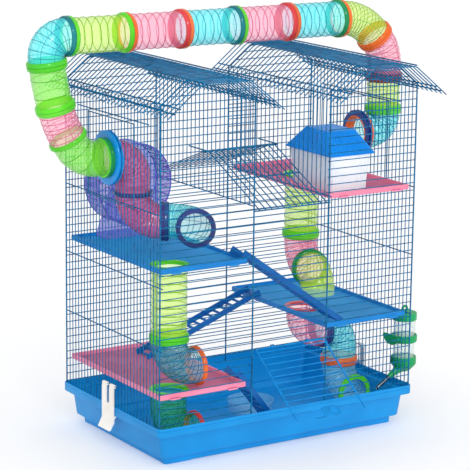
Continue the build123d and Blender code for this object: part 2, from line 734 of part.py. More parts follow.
with BuildPart() as bottle_top:
    with BuildSketch(Plane.XY.offset(bottle_high + 0.05)):
        with Locations((bottle_x, bottle_y)):
            RegularPolygon(13, 12)
    extrude(amount=6)
    with BuildSketch(Plane.XZ.offset(-bottle_y)):
        with Locations((bottle_x, bottle_high + 9)):
            RegularPolygon(6, 10)
    extrude(amount=1.5, both=True)
bottle_top.part.label = "bottle_top"
export_step(bottle_top.part, "parts/bottle_top.step")

spout_slope = radians(15)
spout_l = 50.0
spout_plane = Plane(
    origin=(bottle_x - 7, bottle_y, cap_low - 3),
    x_dir=(0, 1, 0),
    z_dir=(-cos(spout_slope), 0, -sin(spout_slope)),
)
with BuildPart() as bottle_cap:
    with BuildSketch(Plane.XY.offset(cap_low)):
        with Locations((bottle_x, bottle_y)):
            RegularPolygon(cap_r, bottle_sides)
    extrude(amount=bottle_low + 2 - cap_low)
    with BuildSketch(Plane.XY.offset(bottle_low)):
        with Locations((bottle_x, bottle_y)):
            RegularPolygon((bottle_r + bottle_fit) / flat, bottle_sides)
    extrude(amount=4, mode=Mode.SUBTRACT)
    with BuildSketch(Plane.XY.offset(cap_low)):
        with Locations((bottle_x, bottle_y)):
            RegularPolygon(cap_r - 3, bottle_sides)
    extrude(amount=bottle_low - cap_low - 2, mode=Mode.SUBTRACT)
    with BuildSketch(Plane.XY.offset(cap_low)):
        with Locations((bottle_x, bottle_y)):
            RegularPolygon(cap_r - 2, bottle_sides)
    extrude(amount=-cap_step)
    with BuildSketch(Plane.XY.offset(cap_low - cap_step)):
        with Locations((bottle_x, bottle_y)):
            RegularPolygon(cap_r - 6, 12)
    extrude(amount=-cap_step)
    with BuildSketch(spout_plane):
        RegularPolygon(6.5, 12)
    extrude(amount=10)
    with BuildSketch(spout_plane.offset(4)):
        RegularPolygon(spout_r + 0.05, 12, major_radius=False)
    extrude(amount=8, mode=Mode.SUBTRACT)
bottle_cap.part.label = "bottle_cap"
export_step(bottle_cap.part, "parts/bottle_cap.step")

with BuildPart() as spout:
    with BuildSketch(spout_plane.offset(4.2)):
        RegularPolygon(spout_r, 12)
        RegularPolygon(spout_r - 1, 12, mode=Mode.SUBTRACT)
    extrude(amount=spout_l)
spout.part.label = "bottle_spout"
export_step(spout.part, "parts/bottle_spout.step")

wall_out = half_w + wire_t / 2 + 0.1
wall_in = half_w - wire_t / 2 - 0.1
gap_w = side_pitch - wire_t - 0.4
with BuildPart() as clasp:
    with BuildSketch(Plane.XY.offset(clasp_low)):
        with Locations((bottle_x, bottle_y)):
            RegularPolygon((bottle_r + bottle_fit) / flat + 2.4, bottle_sides)
        with Locations((wall_out, bottle_y)):
            Rectangle(bottle_x - wall_out, 24, align=(Align.MIN, Align.CENTER))
        with Locations((bottle_x, bottle_y)):
            RegularPolygon((bottle_r + bottle_fit) / flat, bottle_sides, mode=Mode.SUBTRACT)
    extrude(amount=clasp_high - clasp_low)
    with BuildSketch(Plane.XY.offset(clasp_low + 5)):
        with Locations((wall_in - 2, bottle_y)):
            Rectangle(wall_out + 1 - wall_in + 2, gap_w, align=(Align.MIN, Align.CENTER))
        with Locations((wall_in, bottle_y)):
            Rectangle(2, 2 * gap_w, align=(Align.MAX, Align.CENTER))
    extrude(amount=8)
clasp.part.label = "bottle_clasp"
export_step(clasp.part, "parts/bottle_clasp.step")

# ---------------------------------------------------------------- food bowl
bowl_x, bowl_y = 36.0, 18.0
bowl_r, bowl_h, bowl_sides = 38.0, 22.0, 16
with BuildPart() as bowl:
    with BuildSketch(Plane.XY.offset(floor_z + 0.1)):
        with Locations((bowl_x, bowl_y)):
            RegularPolygon(bowl_r, bowl_sides)
    extrude(amount=bowl_h)
    with BuildSketch(Plane.XY.offset(floor_z + bowl_h + 0.1)):
        with Locations((bowl_x, bowl_y)):
            RegularPolygon(bowl_r - 2.5, bowl_sides)
    extrude(amount=3 - bowl_h, mode=Mode.SUBTRACT)
bowl.part.label = "food_bowl"
export_step(bowl.part, "parts/food_bowl.step")

# ---------------------------------------------------------------- tubes
along_x, along_y, down = Vector(1, 0, 0), Vector(0, 1, 0), Vector(0, 0, -1)


def add_tube(end, towards, first, radius=0, turn=0, last=0):
    """Add one hollow tube to the open part: straight, bend towards a side, straight.

    An end is a place, the heading there and the direction of one corner of the outline.
    Starts from one end and returns the other.
    """
    start, heading, corner = end
    frame = Plane(origin=start, x_dir=heading, z_dir=heading.cross(towards))
    joints = max(1, round(turn / 30)) if turn else 0
    step = radians(turn) / max(1, joints)
    half = radius * tan(step / 2)
    x, y, angle = first + half, 0, 0
    points = [(joint_gap, 0), (x, 0)]
    for joint in range(1, joints):
        angle += step
        x += 2 * half * cos(angle)
        y += 2 * half * sin(angle)
        points.append((x, y))
    angle = radians(turn)
    if turn:
        x += (half + last) * cos(angle)
        y += (half + last) * sin(angle)
        points.append((x, y))
    points[-1] = (x - joint_gap * cos(angle), y - joint_gap * sin(angle))
    with BuildLine(frame) as path:
        Polyline(*points)
    with BuildSketch(Plane(origin=path.line @ 0, x_dir=corner, z_dir=heading)) as section:
        RegularPolygon(tube_r, tube_sides)
        RegularPolygon(tube_r - tube_wall, tube_sides, mode=Mode.SUBTRACT)
    sweep(section.sketch, path.wires()[0], transition=Transition.RIGHT)
    finish = start + heading * x + frame.y_dir * y
    axis = Axis((0, 0, 0), frame.z_dir)
    return finish, heading.rotate(axis, turn), corner.rotate(axis, turn)


def add_collars(ends):
    """Add a collar round each of the given tube ends to the open part."""
    for centre, heading, corner in ends:
        with BuildSketch(Plane(origin=centre, x_dir=corner, z_dir=heading)) as ring:
            RegularPolygon(collar_out, tube_sides)
            RegularPolygon(bore_r, tube_sides, mode=Mode.SUBTRACT)
        extrude(ring.sketch, amount=collar_w / 2, both=True)


def to_the_right(end):
    """Direction to the right of an outside tube's heading, seen from the front."""
    return Vector(end[1].Z, 0, -end[1].X)


# Outside run: from the left wall ring up, over both roofs and down to the right wall ring
ring_end = half_w + socket_out
end = (Vector(6 - ring_end, ring_y, ring_z), along_x * -1, along_y)
outer_ends = []
rise_rows = (
    ("left_elbow", 14, 50, 60, lead),
    ("left_low_bend", lead, 172, 14, lead),
    ("left_high_bend", lead, 365, 8, lead),
    ("left_top_elbow", lead, 28, 98, lead),
)
for name, first, radius, turn, last in rise_rows:
    with BuildPart() as tube:
        end = add_tube(end, to_the_right(end), first, radius, turn, last)
    outer_ends.append(end)
    tube.part.label = name
    export_step(tube.part, f"parts/{name}.step")

# The straight tubes fill the length that the bends on the right leave over
top_turn, low_turn = 48, 42
top_bend_r, low_bend_r, low_tail = 80.0, 62.0, 20.0
lean_a, lean_b = radians(top_turn), radians(top_turn + low_turn)
reach_a = lead + top_bend_r * sin(lean_a) + lead * cos(lean_a)
reach_b = lead * cos(lean_a) + low_bend_r * (sin(lean_b) - sin(lean_a))
straight_count = 5
straight_l = (riser_x - reach_a - reach_b - end[0].X) / straight_count
with BuildPart() as top_tubes:
    for number in range(straight_count):
        end = add_tube(end, down, straight_l)
        outer_ends.append(end)
top_tubes.part.label = "top_tubes"
export_step(top_tubes.part, "parts/top_tubes.step")

with BuildPart() as right_top_bend:
    end = add_tube(end, to_the_right(end), lead, top_bend_r, top_turn, lead)
outer_ends.append(end)
right_top_bend.part.label = "right_top_bend"
export_step(right_top_bend.part, "parts/right_top_bend.step")
with BuildPart() as right_low_bend:
    end = add_tube(end, to_the_right(end), lead, low_bend_r, low_turn, low_tail)
outer_ends.append(end)
right_low_bend.part.label = "right_low_bend"
export_step(right_low_bend.part, "parts/right_low_bend.step")
elbow_r = 28.0
with BuildPart() as riser:
    end = add_tube(end, to_the_right(end), end[0].Z - ring_z - elbow_r - lead)
outer_ends.append(end)
riser.part.label = "right_riser"
export_step(riser.part, "parts/right_riser.step")
with BuildPart() as right_elbow:
    elbow_last = riser_x - elbow_r - (ring_end - 6)
    end = add_tube(end, to_the_right(end), lead, elbow_r, 90, elbow_last)
right_elbow.part.label = "right_elbow"
export_step(right_elbow.part, "parts/right_elbow.step")
with BuildPart() as outer_collars:
    add_collars(outer_ends)
outer_collars.part.label = "outer_collars"
export_step(outer_collars.part, "parts/outer_collars.step")

# Inside: four chains of tubes. Each comes out of the wall ring or goes down through a shelf
above, below = shelf_floor + 3, 6
floor_tube_z = floor_z + collar_out + 0.3
slide = along_x.rotate(Axis.Z, -33)
drop_way = along_x.rotate(Axis.Z, -105)
floor_bend_r = 40.0
inner_ends = []


def shelf_start(row):
    """Top end of a tube that goes down through the hole of the given shelf row."""
    name, side, wire_number, (x, y) = row
    start = Vector(x, y, shelf_base(wire_number) + above)
    inner_ends.append((start + down * below, down, along_x))
    return start, down, along_x


def down_to(end, height):
    """Length of the straight that takes a falling tube down to the given height."""
    return end[0].Z - height


upper_left, lower_left, middle_right, upper_right = shelf_rows
inlet = (Vector(-half_w - 4, ring_y, ring_z), along_x, along_y)
chains = (
    (
        inlet,
        ("entry_elbow", down, 10, 36, 90, 18),
        ("slide_bend", slide, lead, 40, 90, 8),
        ("slide_elbow", slide.rotate(Axis.Z, -90), lead, 41, 90, lead),
    ),
    (
        shelf_start(upper_left),
        ("left_drop", along_x, 112, 0, 0, 0),
        ("left_drop_elbow", along_x, lead, 43, 90, 8),
    ),
    (shelf_start(lower_left), ("left_floor_elbow", along_x, 0, floor_bend_r, 90, 10)),
    (
        shelf_start(upper_right),
        ("right_drop", along_x, 98, 0, 0, 0),
        ("right_drop_elbow", drop_way, lead, 40, 90, lead),
        ("right_outlet", down, lead, 30, 90, 3),
    ),
    (
        shelf_start(middle_right),
        ("middle_elbow", along_x, 14, 29, 90, lead),
        ("middle_low_elbow", down, lead, 29, 90, 26),
        ("right_floor_elbow", along_y * -1, 0, floor_bend_r, 90, lead),
    ),
)
for end, *pieces in chains:
    for name, towards, first, radius, turn, last in pieces:
        if name.endswith("floor_elbow"):
            first = down_to(end, floor_tube_z + radius)
        with BuildPart() as tube:
            end = add_tube(end, towards, first, radius, turn, last)
        if name != "right_outlet":
            inner_ends.append(end)
        tube.part.label = name
        export_step(tube.part, f"parts/{name}.step")

with BuildPart() as inner_collars:
    add_collars(inner_ends)
inner_collars.part.label = "inner_collars"
export_step(inner_collars.part, "parts/inner_collars.step")
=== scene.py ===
import json
from math import cos, pi, radians, sin

import bmesh
import bpy
from mathutils import Matrix, Quaternion, Vector

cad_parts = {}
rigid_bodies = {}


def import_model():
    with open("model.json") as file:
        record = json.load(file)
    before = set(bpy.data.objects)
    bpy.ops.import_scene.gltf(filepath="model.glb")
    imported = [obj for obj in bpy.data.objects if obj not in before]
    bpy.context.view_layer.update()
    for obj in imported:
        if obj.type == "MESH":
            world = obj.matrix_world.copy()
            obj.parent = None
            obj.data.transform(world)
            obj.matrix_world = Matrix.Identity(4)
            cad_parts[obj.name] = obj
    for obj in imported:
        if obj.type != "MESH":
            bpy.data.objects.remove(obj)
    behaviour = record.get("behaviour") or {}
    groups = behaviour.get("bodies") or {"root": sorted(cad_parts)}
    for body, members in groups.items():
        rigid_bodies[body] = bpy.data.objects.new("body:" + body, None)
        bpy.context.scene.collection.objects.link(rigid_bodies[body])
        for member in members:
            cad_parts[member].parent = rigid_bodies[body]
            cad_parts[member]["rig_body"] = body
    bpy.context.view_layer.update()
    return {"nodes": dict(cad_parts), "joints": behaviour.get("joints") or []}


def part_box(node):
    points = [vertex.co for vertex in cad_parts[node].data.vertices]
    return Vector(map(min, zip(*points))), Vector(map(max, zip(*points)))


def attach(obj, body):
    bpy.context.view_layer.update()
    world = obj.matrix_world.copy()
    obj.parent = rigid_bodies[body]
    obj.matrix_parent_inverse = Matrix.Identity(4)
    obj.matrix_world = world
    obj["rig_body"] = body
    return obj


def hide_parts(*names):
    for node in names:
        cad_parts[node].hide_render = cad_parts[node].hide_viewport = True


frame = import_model()
MM = 0.001


# ------------------------------------------------------------------ tray
# A deep tray of injection-moulded polypropylene: four feet, a stepped base, leaning walls
# and an upright rim that the wire house drops into. Low ridges run across its floor.
def linear(code):
    """An sRGB hex colour as linear RGBA."""
    parts = [int(code[k:k + 2], 16) / 255 for k in (1, 3, 5)]
    return [p / 12.92 if p <= 0.04045 else ((p + 0.055) / 1.055) ** 2.4 for p in parts] + [1]


def add_node(material, kind, inputs=None, links=None, **settings):
    """Add one node with its settings, its fixed inputs and its links, both given by name."""
    node = material.node_tree.nodes.new(kind)
    for name, value in settings.items():
        setattr(node, name, value)
    for name, value in (inputs or {}).items():
        node.inputs[name].default_value = value
    for name, socket in (links or {}).items():
        material.node_tree.links.new(socket, node.inputs[name])
    return node


def blank_material(name):
    """A new material whose node tree is still empty."""
    material = bpy.data.materials.new(name)
    material.use_nodes = True
    material.node_tree.nodes.clear()
    return material


def moulded_plastic(name, colour, shade, gloss, alpha=1.0, grain=1.2, relief=0.06):
    """Moulded plastic, which soft highlights and a faint grain tell from paint.

    The pigment drifts between two close tones over some 70 mm, and use has rubbed it in
    patches of 14 mm, from polished to rubbed in the gloss pair of roughnesses. Grain and
    relief are the mould's texture in millimetres, about five times coarser than real so
    that it shows.
    """
    material = blank_material(name)
    place = add_node(material, "ShaderNodeTexCoord").outputs["Object"]
    drift = add_node(
        material, "ShaderNodeTexNoise", {"Scale": 1 / (70 * MM), "Detail": 3.0}, {"Vector": place}
    )
    tone = add_node(material, "ShaderNodeValToRGB", links={"Fac": drift.outputs["Fac"]})
    tone.color_ramp.elements[0].position, tone.color_ramp.elements[1].position = 0.38, 0.62
    tone.color_ramp.elements[0].color = linear(shade)
    tone.color_ramp.elements[1].color = linear(colour)
    rubbed = add_node(
        material, "ShaderNodeTexNoise", {"Scale": 1 / (14 * MM), "Detail": 4.0}, {"Vector": place}
    )
    rough = add_node(
        material, "ShaderNodeMapRange",
        {"From Min": 0.35, "From Max": 0.65, "To Min": gloss[0], "To Max": gloss[1]},
        {"Value": rubbed.outputs["Fac"]},
    )
    mould = add_node(
        material, "ShaderNodeTexNoise", {"Scale": 1 / (grain * MM), "Detail": 2.0},
        {"Vector": place},
    )
    bump = add_node(
        material, "ShaderNodeBump", {"Strength": 0.25, "Distance": relief * MM},
        {"Height": mould.outputs["Fac"]},
    )
    shader = add_node(
        material, "ShaderNodeBsdfPrincipled",
        {"IOR": 1.5, "Specular IOR Level": 0.28, "Alpha": alpha},
        {"Base Color": tone.outputs["Color"], "Roughness": rough.outputs["Result"],
         "Normal": bump.outputs["Normal"]},
    )
    add_node(material, "ShaderNodeOutputMaterial", links={"Surface": shader.outputs["BSDF"]})
    return material


def rounded_ring(half_x, half_y, corner, z, middle=(0, 0), steps=8):
    """Points round a rectangle with rounded corners, all in millimetres."""
    points = []
    for k, (sx, sy) in enumerate(((1, 1), (-1, 1), (-1, -1), (1, -1))):
        for step in range(steps + 1):
            angle = (k + step / steps) * pi / 2
            x = middle[0] + sx * (half_x - corner) + corner * cos(angle)
            y = middle[1] + sy * (half_y - corner) + corner * sin(angle)
            points.append(Vector((x, y, z)) * MM)
    return points


def skin(rings, ends=True, loop=False):
    """Corners and faces of a skin over rings of points, its ends closed, open or joined."""
    count = len(rings[0])
    points = [point for ring in rings for point in ring]
    faces = []
    for k in range(len(rings) - 1 + loop):
        a, b = k * count, (k + 1) % len(rings) * count
        faces += [(a + j, a + (j + 1) % count, b + (j + 1) % count, b + j) for j in range(count)]
    if ends and not loop:
        faces += [tuple(range(count)), tuple(range(len(points) - count, len(points)))]
    return points, faces


true_edge = radians(32)  # a turn sharper than this is an edge, and a gentler one a curve


def shade_smooth(mesh):
    """Shade a mesh smooth, with its true edges kept sharp."""
    mesh.polygons.foreach_set("use_smooth", [True] * len(mesh.polygons))
    mesh.set_sharp_from_angle(angle=true_edge)


def mesh_of(name, *skins):
    """One smooth mesh of the given skins."""
    mesh = bpy.data.meshes.new(name)
    points, faces = [], []
    for more_points, more_faces in skins:
        faces += [tuple(k + len(points) for k in face) for face in more_faces]
        points += more_points
    mesh.from_pydata(points, [], faces)
    shape = bmesh.new()
    shape.from_mesh(mesh)
    bmesh.ops.recalc_face_normals(shape, faces=shape.faces)
    shape.to_mesh(mesh)
    shape.free()
    shade_smooth(mesh)
    return mesh


def wire_curve(name, wires, closed=False):
    """One curve of round wires, each given as its points and its radius in metres."""
    curve = bpy.data.curves.new(name, "CURVE")
    curve.dimensions = "3D"
    curve.bevel_depth = MM
    curve.bevel_resolution = 2
    curve.use_fill_caps = True
    for points, radius in wires:
        spline = curve.splines.new("POLY")
        spline.points.add(len(points) - 1)
        spline.use_cyclic_u = closed
        for knot, place in zip(spline.points, points):
            knot.co = (*place, 1)
            knot.radius = radius / MM
    return curve


def add_piece(name, data, material, body="cage", nodes=(), edge=0.0):
    """Set a piece on its body, standing for CAD nodes, with its edges rounded by edge mm."""
    piece = bpy.data.objects.new(name, data)
    bpy.context.scene.collection.objects.link(piece)
    data.materials.append(material)
    if edge:
        bevel = piece.modifiers.new("rounded_edge", "BEVEL")
        bevel.width, bevel.segments = edge * MM, 2
        bevel.limit_method, bevel.angle_limit = "ANGLE", true_edge
    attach(piece, body)
    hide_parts(*nodes)
    return piece


# Satin, a little glossier where hands polish it: broad soft highlights along the rim
tray_blue = moulded_plastic(
    "moulded_polypropylene_tray", "#0890d6", "#0587cc", (0.3, 0.42), grain=1.6
)
rim_x, rim_y, rim_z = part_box("tray")[1] / MM
sill, ledge, base, floor = rim_z - 14, rim_z - 9.8, 0.9, 5.5
# Inset from the rim, corner radius and height: up the outside, over the rim and down inside
tray_profile = (
    (24.6, 6, base), (23.8, 7, base + 0.8), (23.2, 7, 12.4), (14.8, 9, 13.2), (13.8, 10, 14.4),
    (10, 10, sill - 1), (9, 10, sill), (0.6, 9.4, sill), (0.1, 9.4, sill + 0.8),
    (0.1, 9.4, rim_z - 5.4), (0.7, 9.2, rim_z - 4.8), (0.1, 9.4, rim_z - 4.2),
    (0, 9.5, rim_z - 1.2), (0.4, 9.2, rim_z - 0.3), (1.0, 8.6, rim_z), (1.6, 8.2, rim_z - 0.4),
    (1.9, 8, rim_z - 1.2), (2.0, 8, ledge + 0.6), (2.8, 7.5, ledge), (11.8, 9, ledge),
    (12.6, 9, ledge - 0.8), (17.0, 8, 16), (18.0, 8, 14.6), (25.0, 6, 14.2), (26.0, 6, 13),
    (29.4, 6, floor + 1), (30.4, 6, floor),
)
tray_skin = skin([
    rounded_ring(rim_x - inset, rim_y - inset, corner, z) for inset, corner, z in tray_profile
])
foot_x, foot_y, foot_half_x, foot_half_y = 184, 116, 24, 9
feet = [
    skin([
        rounded_ring(foot_half_x - cut, foot_half_y - cut, 5, z, (foot_x * sx, foot_y * sy), 4)
        for cut, z in ((0, base + 0.4), (0, 0.4), (0.4, 0))
    ])
    for sx in (-1, 1) for sy in (-1, 1)
]
add_piece("moulded_tray", mesh_of("tray", tray_skin, *feet), tray_blue,
          nodes=["tray"])
ridge_end, ridge_pitch = 200, 6
floor_ridges = [
    ([Vector((-ridge_end, y, floor)) * MM, Vector((ridge_end, y, floor)) * MM], 0.5 * MM)
    for y in range(-114, 115, ridge_pitch)
]
add_piece("tray_floor_ridges", wire_curve("tray_floor_ridges", floor_ridges), tray_blue)


# ------------------------------------------------------------------ wire house
# Walls, posts and roofs of drawn steel wire, spot-welded where they cross, then dipped in
# blue enamel. Two small wires at the tray's sides carry the clips.
def enamel(name, colour, pooled):
    """Enamel on wire: smooth and glossy, so each wire has one thin bright line down it. The
    deeper pooled colour shows where it lies thick, in patches of 12 mm."""
    material = blank_material(name)
    place = add_node(material, "ShaderNodeTexCoord").outputs["Object"]
    pools = add_node(
        material, "ShaderNodeTexNoise", {"Scale": 1 / (12 * MM), "Detail": 2.0}, {"Vector": place}
    )
    tone = add_node(material, "ShaderNodeValToRGB", links={"Fac": pools.outputs["Fac"]})
    tone.color_ramp.elements[0].position, tone.color_ramp.elements[1].position = 0.35, 0.6
    tone.color_ramp.elements[0].color = linear(pooled)
    tone.color_ramp.elements[1].color = linear(colour)
    runs = add_node(
        material, "ShaderNodeMapRange", {"To Min": 0.22, "To Max": 0.4},
        {"Value": pools.outputs["Fac"]},
    )
    shader = add_node(
        material, "ShaderNodeBsdfPrincipled",
        {"IOR": 1.5, "Specular IOR Level": 0.12, "Coat Weight": 0.05, "Coat Roughness": 0.15},
        {"Base Color": tone.outputs["Color"], "Roughness": runs.outputs["Result"]},
    )
    add_node(material, "ShaderNodeOutputMaterial", links={"Surface": shader.outputs["BSDF"]})
    return material


def joined_shape(node):
    """A CAD node's shape with the corners that its faces share joined."""
    shape = bmesh.new()
    shape.from_mesh(frame["nodes"][node].data)
    bmesh.ops.remove_doubles(shape, verts=shape.verts, dist=1e-6)
    shape.verts.ensure_lookup_table()
    return shape


def solids_of(shape):
    """The corners of each separate solid of a shape, in a lasting order."""
    seen, solids = set(), []
    for first in shape.verts:
        if first.index in seen:
            continue
        seen.add(first.index)
        solid = [first]
        for vert in solid:
            for edge in vert.link_edges:
                other = edge.other_vert(vert)
                if other.index not in seen:
                    seen.add(other.index)
                    solid.append(other)
        solids.append(solid)
    return solids


def middle_line(points):
    """Middle line and radius of one wire, straight or bent, from its corner points."""
    spans = [max(p[k] for p in points) - min(p[k] for p in points) for k in range(3)]
    along = spans.index(max(spans))
    stops = []
    for point in sorted(points, key=lambda p: p[along]):
        if stops and point[along] - stops[-1][-1][along] < 1.5 * MM:
            stops[-1].append(point)
        else:
            stops.append([point])
    return [sum(stop, Vector()) / len(stop) for stop in stops], min(spans) / 2


def bend(start, corner, end, steps):
    """Points round a corner, on the smooth curve that leaves start and reaches end."""
    return [
        start * (1 - t) ** 2 + corner * 2 * t * (1 - t) + end * t * t
        for t in (step / steps for step in range(steps + 1))
    ]


def eased(line, reach):
    """The line with each corner rounded over the given reach, as a bending jig leaves it."""
    points = [line[0]]
    for before, corner, after in zip(line, line[1:], line[2:]):
        cut = min(reach, (before - corner).length * 0.499, (after - corner).length * 0.499)
        start = corner + (before - corner).normalized() * cut
        end = corner + (after - corner).normalized() * cut
        points += bend(start, corner, end, 6)
    return points + [line[-1]]


blue_enamel = enamel("blue_enamel_on_steel_wire", "#046e9e", "#04507a")
wire_nodes = (
    "front_wall", "back_wall", "left_wall", "right_wall", "inner_walls", "upright_posts",
    "left_roof", "right_roof", "roof_gables", "middle_roof", "left_side_door",
    "right_side_door", "clip_wires",
)
for node in wire_nodes:
    # Enamel lies thicker on the dipped roofs
    coat = 1.2 if node.endswith("roof") else 1
    wires = []
    shape = joined_shape(node)
    for solid in solids_of(shape):
        line, radius = middle_line([vert.co.copy() for vert in solid])
        wires.append((eased(line, 5 * MM), radius * coat))
    shape.free()
    add_piece(node + "_wires", wire_curve(node, wires), blue_enamel, nodes=[node])


# ------------------------------------------------------------------ front door
# A bent wire frame with cross bars, two eyes that turn on a wall wire, and a pressed plate
# between two small loops at the free edge, all welded and enamelled like the house.
hinge = next(joint for joint in frame["joints"] if joint["name"] == "front_door_hinge")
hinge_at = Vector(hinge["pos_m"])
door_open = radians(54)
door_out = Vector((0, -cos(door_open), sin(door_open)))
door_up = Vector((0, sin(door_open), cos(door_open)))
door_half, door_long = 63.5, 145.0


def on_door(x, down, out):
    """A point of the door: across, down from the hinge and out from it, in millimetres."""
    return hinge_at + (Vector((x, 0, 0)) - door_up * down + door_out * out) * MM


# One thin coat over bright steel, so the door reads lighter than the twice-dipped walls
door_enamel = enamel("lighter_blue_enamel", "#0e8ad2", "#0a78bc")
rail_r, bar_r, eye_r = 1.3, 0.75, 1.95
rail_out, bar_out, bar_pitch = 2.2, 4.35, 11.9
rail_x, top_rail, free_rail = door_half - rail_r, 3.5, door_long - rail_r
door_frame = [
    on_door(x, down, rail_out)
    for x, down in (
        (0, free_rail), (-rail_x, free_rail), (-rail_x, top_rail), (rail_x, top_rail),
        (rail_x, free_rail), (0, free_rail),
    )
]
door_wires = [(eased(door_frame, 6 * MM), rail_r * MM)]
for k in range(1, 12):
    bar = [on_door(x, bar_pitch * k, bar_out) for x in (-door_half, door_half)]
    door_wires.append((bar, bar_r * MM))
for x in (-7, 7):
    plate_loop = [
        on_door(x + across, door_long + down, out)
        for across, down, out in ((-4, -5, 3.6), (-4, 0.2, 4.4), (4, 0.2, 4.4), (4, -5, 3.6))
    ]
    door_wires.append((eased(plate_loop, 3 * MM), 0.8 * MM))
for side in (-1, 1):
    # Each eye is two turns of wire, half a millimetre along for every radian
    eye = [
        hinge_at + Vector((side * door_half / 2 + turn * 0.5, 0, 0)) * MM
        + (door_up * cos(turn) + door_out * sin(turn)) * eye_r * MM
        for turn in (k * pi / 10 - pi for k in range(41))
    ]
    door_wires.append((eye, bar_r * MM))
add_piece("front_door_wires", wire_curve("front_door", door_wires), door_enamel,
          "front_door", ["front_door"])
plate_x, plate_y, plate_middle = 15, 10, door_long - 7
plate_outline = (
    (-15, -7), (-12, -10), (12, -10), (15, -7), (15, 7), (12, 10), (-12, 10), (-15, 7),
)
plate_rings = [
    [on_door(x * (plate_x - cut) / plate_x, plate_middle + y * (plate_y - cut) / plate_y, out)
     for x, y in plate_outline]
    for cut, out in ((0.4, 5.15), (0, 5.5), (0, 6.3), (0.5, 6.7), (3, 6.7), (3.6, 6.2))
]
add_piece("front_door_plate", mesh_of("door_plate", skin(plate_rings)), door_enamel,
          "front_door", ["front_door_latch"])


# ------------------------------------------------------------------ shelves and ladders
# Polypropylene trays that lie on the wires by their tabs, ridged across to give a foothold,
# and ladders with open rungs hooked over their rims.
def whole_faces(node):
    """A CAD node's shape with its flat faces made whole."""
    shape = joined_shape(node)
    bmesh.ops.dissolve_limit(
        shape, angle_limit=radians(1), verts=shape.verts, edges=shape.edges
    )
    return shape


def carried_over(node, material, edge):
    """The CAD part's own shape as a new piece, with its edges rounded."""
    shape = whole_faces(node)
    mesh = bpy.data.meshes.new(node)
    shape.to_mesh(mesh)
    shape.free()
    shade_smooth(mesh)
    body = frame["nodes"][node]["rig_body"]
    return add_piece(node + "_moulding", mesh, material, body, [node], edge)


# Plain moulded rims, satin like the tray but scuffed by wires and feet, so less bright
shelf_blue = moulded_plastic(
    "moulded_polypropylene_blue_shelf", "#0d84d0", "#097ac6", (0.36, 0.5), grain=1.4
)
shelf_pink = moulded_plastic(
    "moulded_polypropylene_pink_shelf", "#f790ae", "#f0829f", (0.36, 0.5), grain=1.4
)
# The ridged floors scatter the light; the blue one is also painted lighter and greyer than its
# rims, painted light that lifts the shade it lies in
painted_light_floor_blue = moulded_plastic(
    "ridged_polypropylene_blue_painted_light", "#3098d4", "#2a8cc8", (0.5, 0.64), grain=1.0, relief=0.12
)
# The ridged pink floor is darker than its rims: a painted shade
painted_shade_floor_pink = moulded_plastic(
    "ridged_polypropylene_pink_painted_shade", "#c86f8f", "#ba6584", (0.5, 0.64), grain=1.0, relief=0.12
)
hole_clear, ridge_high, shelf_margin = 33, 2.55, 5
for node, hole_x, hole_y, rims, floors, slot in (
    ("upper_left_shelf", -187, -99, shelf_blue, painted_light_floor_blue, "shelf_plastic"),
    ("lower_left_shelf", -187, -99, shelf_pink, painted_shade_floor_pink, "pink_plastic"),
    ("middle_right_shelf", 110, -18, shelf_blue, painted_light_floor_blue, "shelf_plastic"),
    ("upper_right_shelf", 140, 36, shelf_pink, painted_shade_floor_pink, "pink_plastic"),
):
    shelf = carried_over(node, rims, 0.8)
    low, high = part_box(node)
    # Flat faces low inside the rim take the floor tone: painted light when blue, painted shade
    # when pink
    shelf.data.materials.append(floors)
    for face in shelf.data.polygons:
        face.material_index = int(face.normal.z > 0.9 and face.center.z < low.z + 4 * MM)
    x_low, x_high = low.x / MM + shelf_margin, high.x / MM - shelf_margin
    z = low.z / MM + ridge_high
    ridges = []
    for y in range(-126, 127, ridge_pitch):
        spans = [(x_low, x_high)]
        if abs(y - hole_y) < hole_clear:
            reach = (hole_clear ** 2 - (y - hole_y) ** 2) ** 0.5
            spans = [(x_low, hole_x - reach), (hole_x + reach, x_high)]
        for start, end in spans:
            if end - start > 3:
                ridges.append(([Vector((x, y, z)) * MM for x in (start, end)], 0.4 * MM))
    add_piece(node + "_ridges", wire_curve(node + "_ridges", ridges), floors)

# A harder, darker grade than the shelves, so the rungs carry small crisp highlights
ladder_blue = moulded_plastic(
    "moulded_polypropylene_ladder", "#0a66b4", "#07589f", (0.3, 0.42), grain=1.4
)
across = Vector((0, 1, 0))


def slab(start, end, up, half_wide, low, high):
    """A flat bar from start to end, its width and its heights along up in millimetres."""
    return skin([
        [place + across * (side * half_wide * MM) + up * rise * MM
         for side, rise in ((-1, low), (1, low), (1, high), (-1, high))]
        for place in (start, end)
    ])


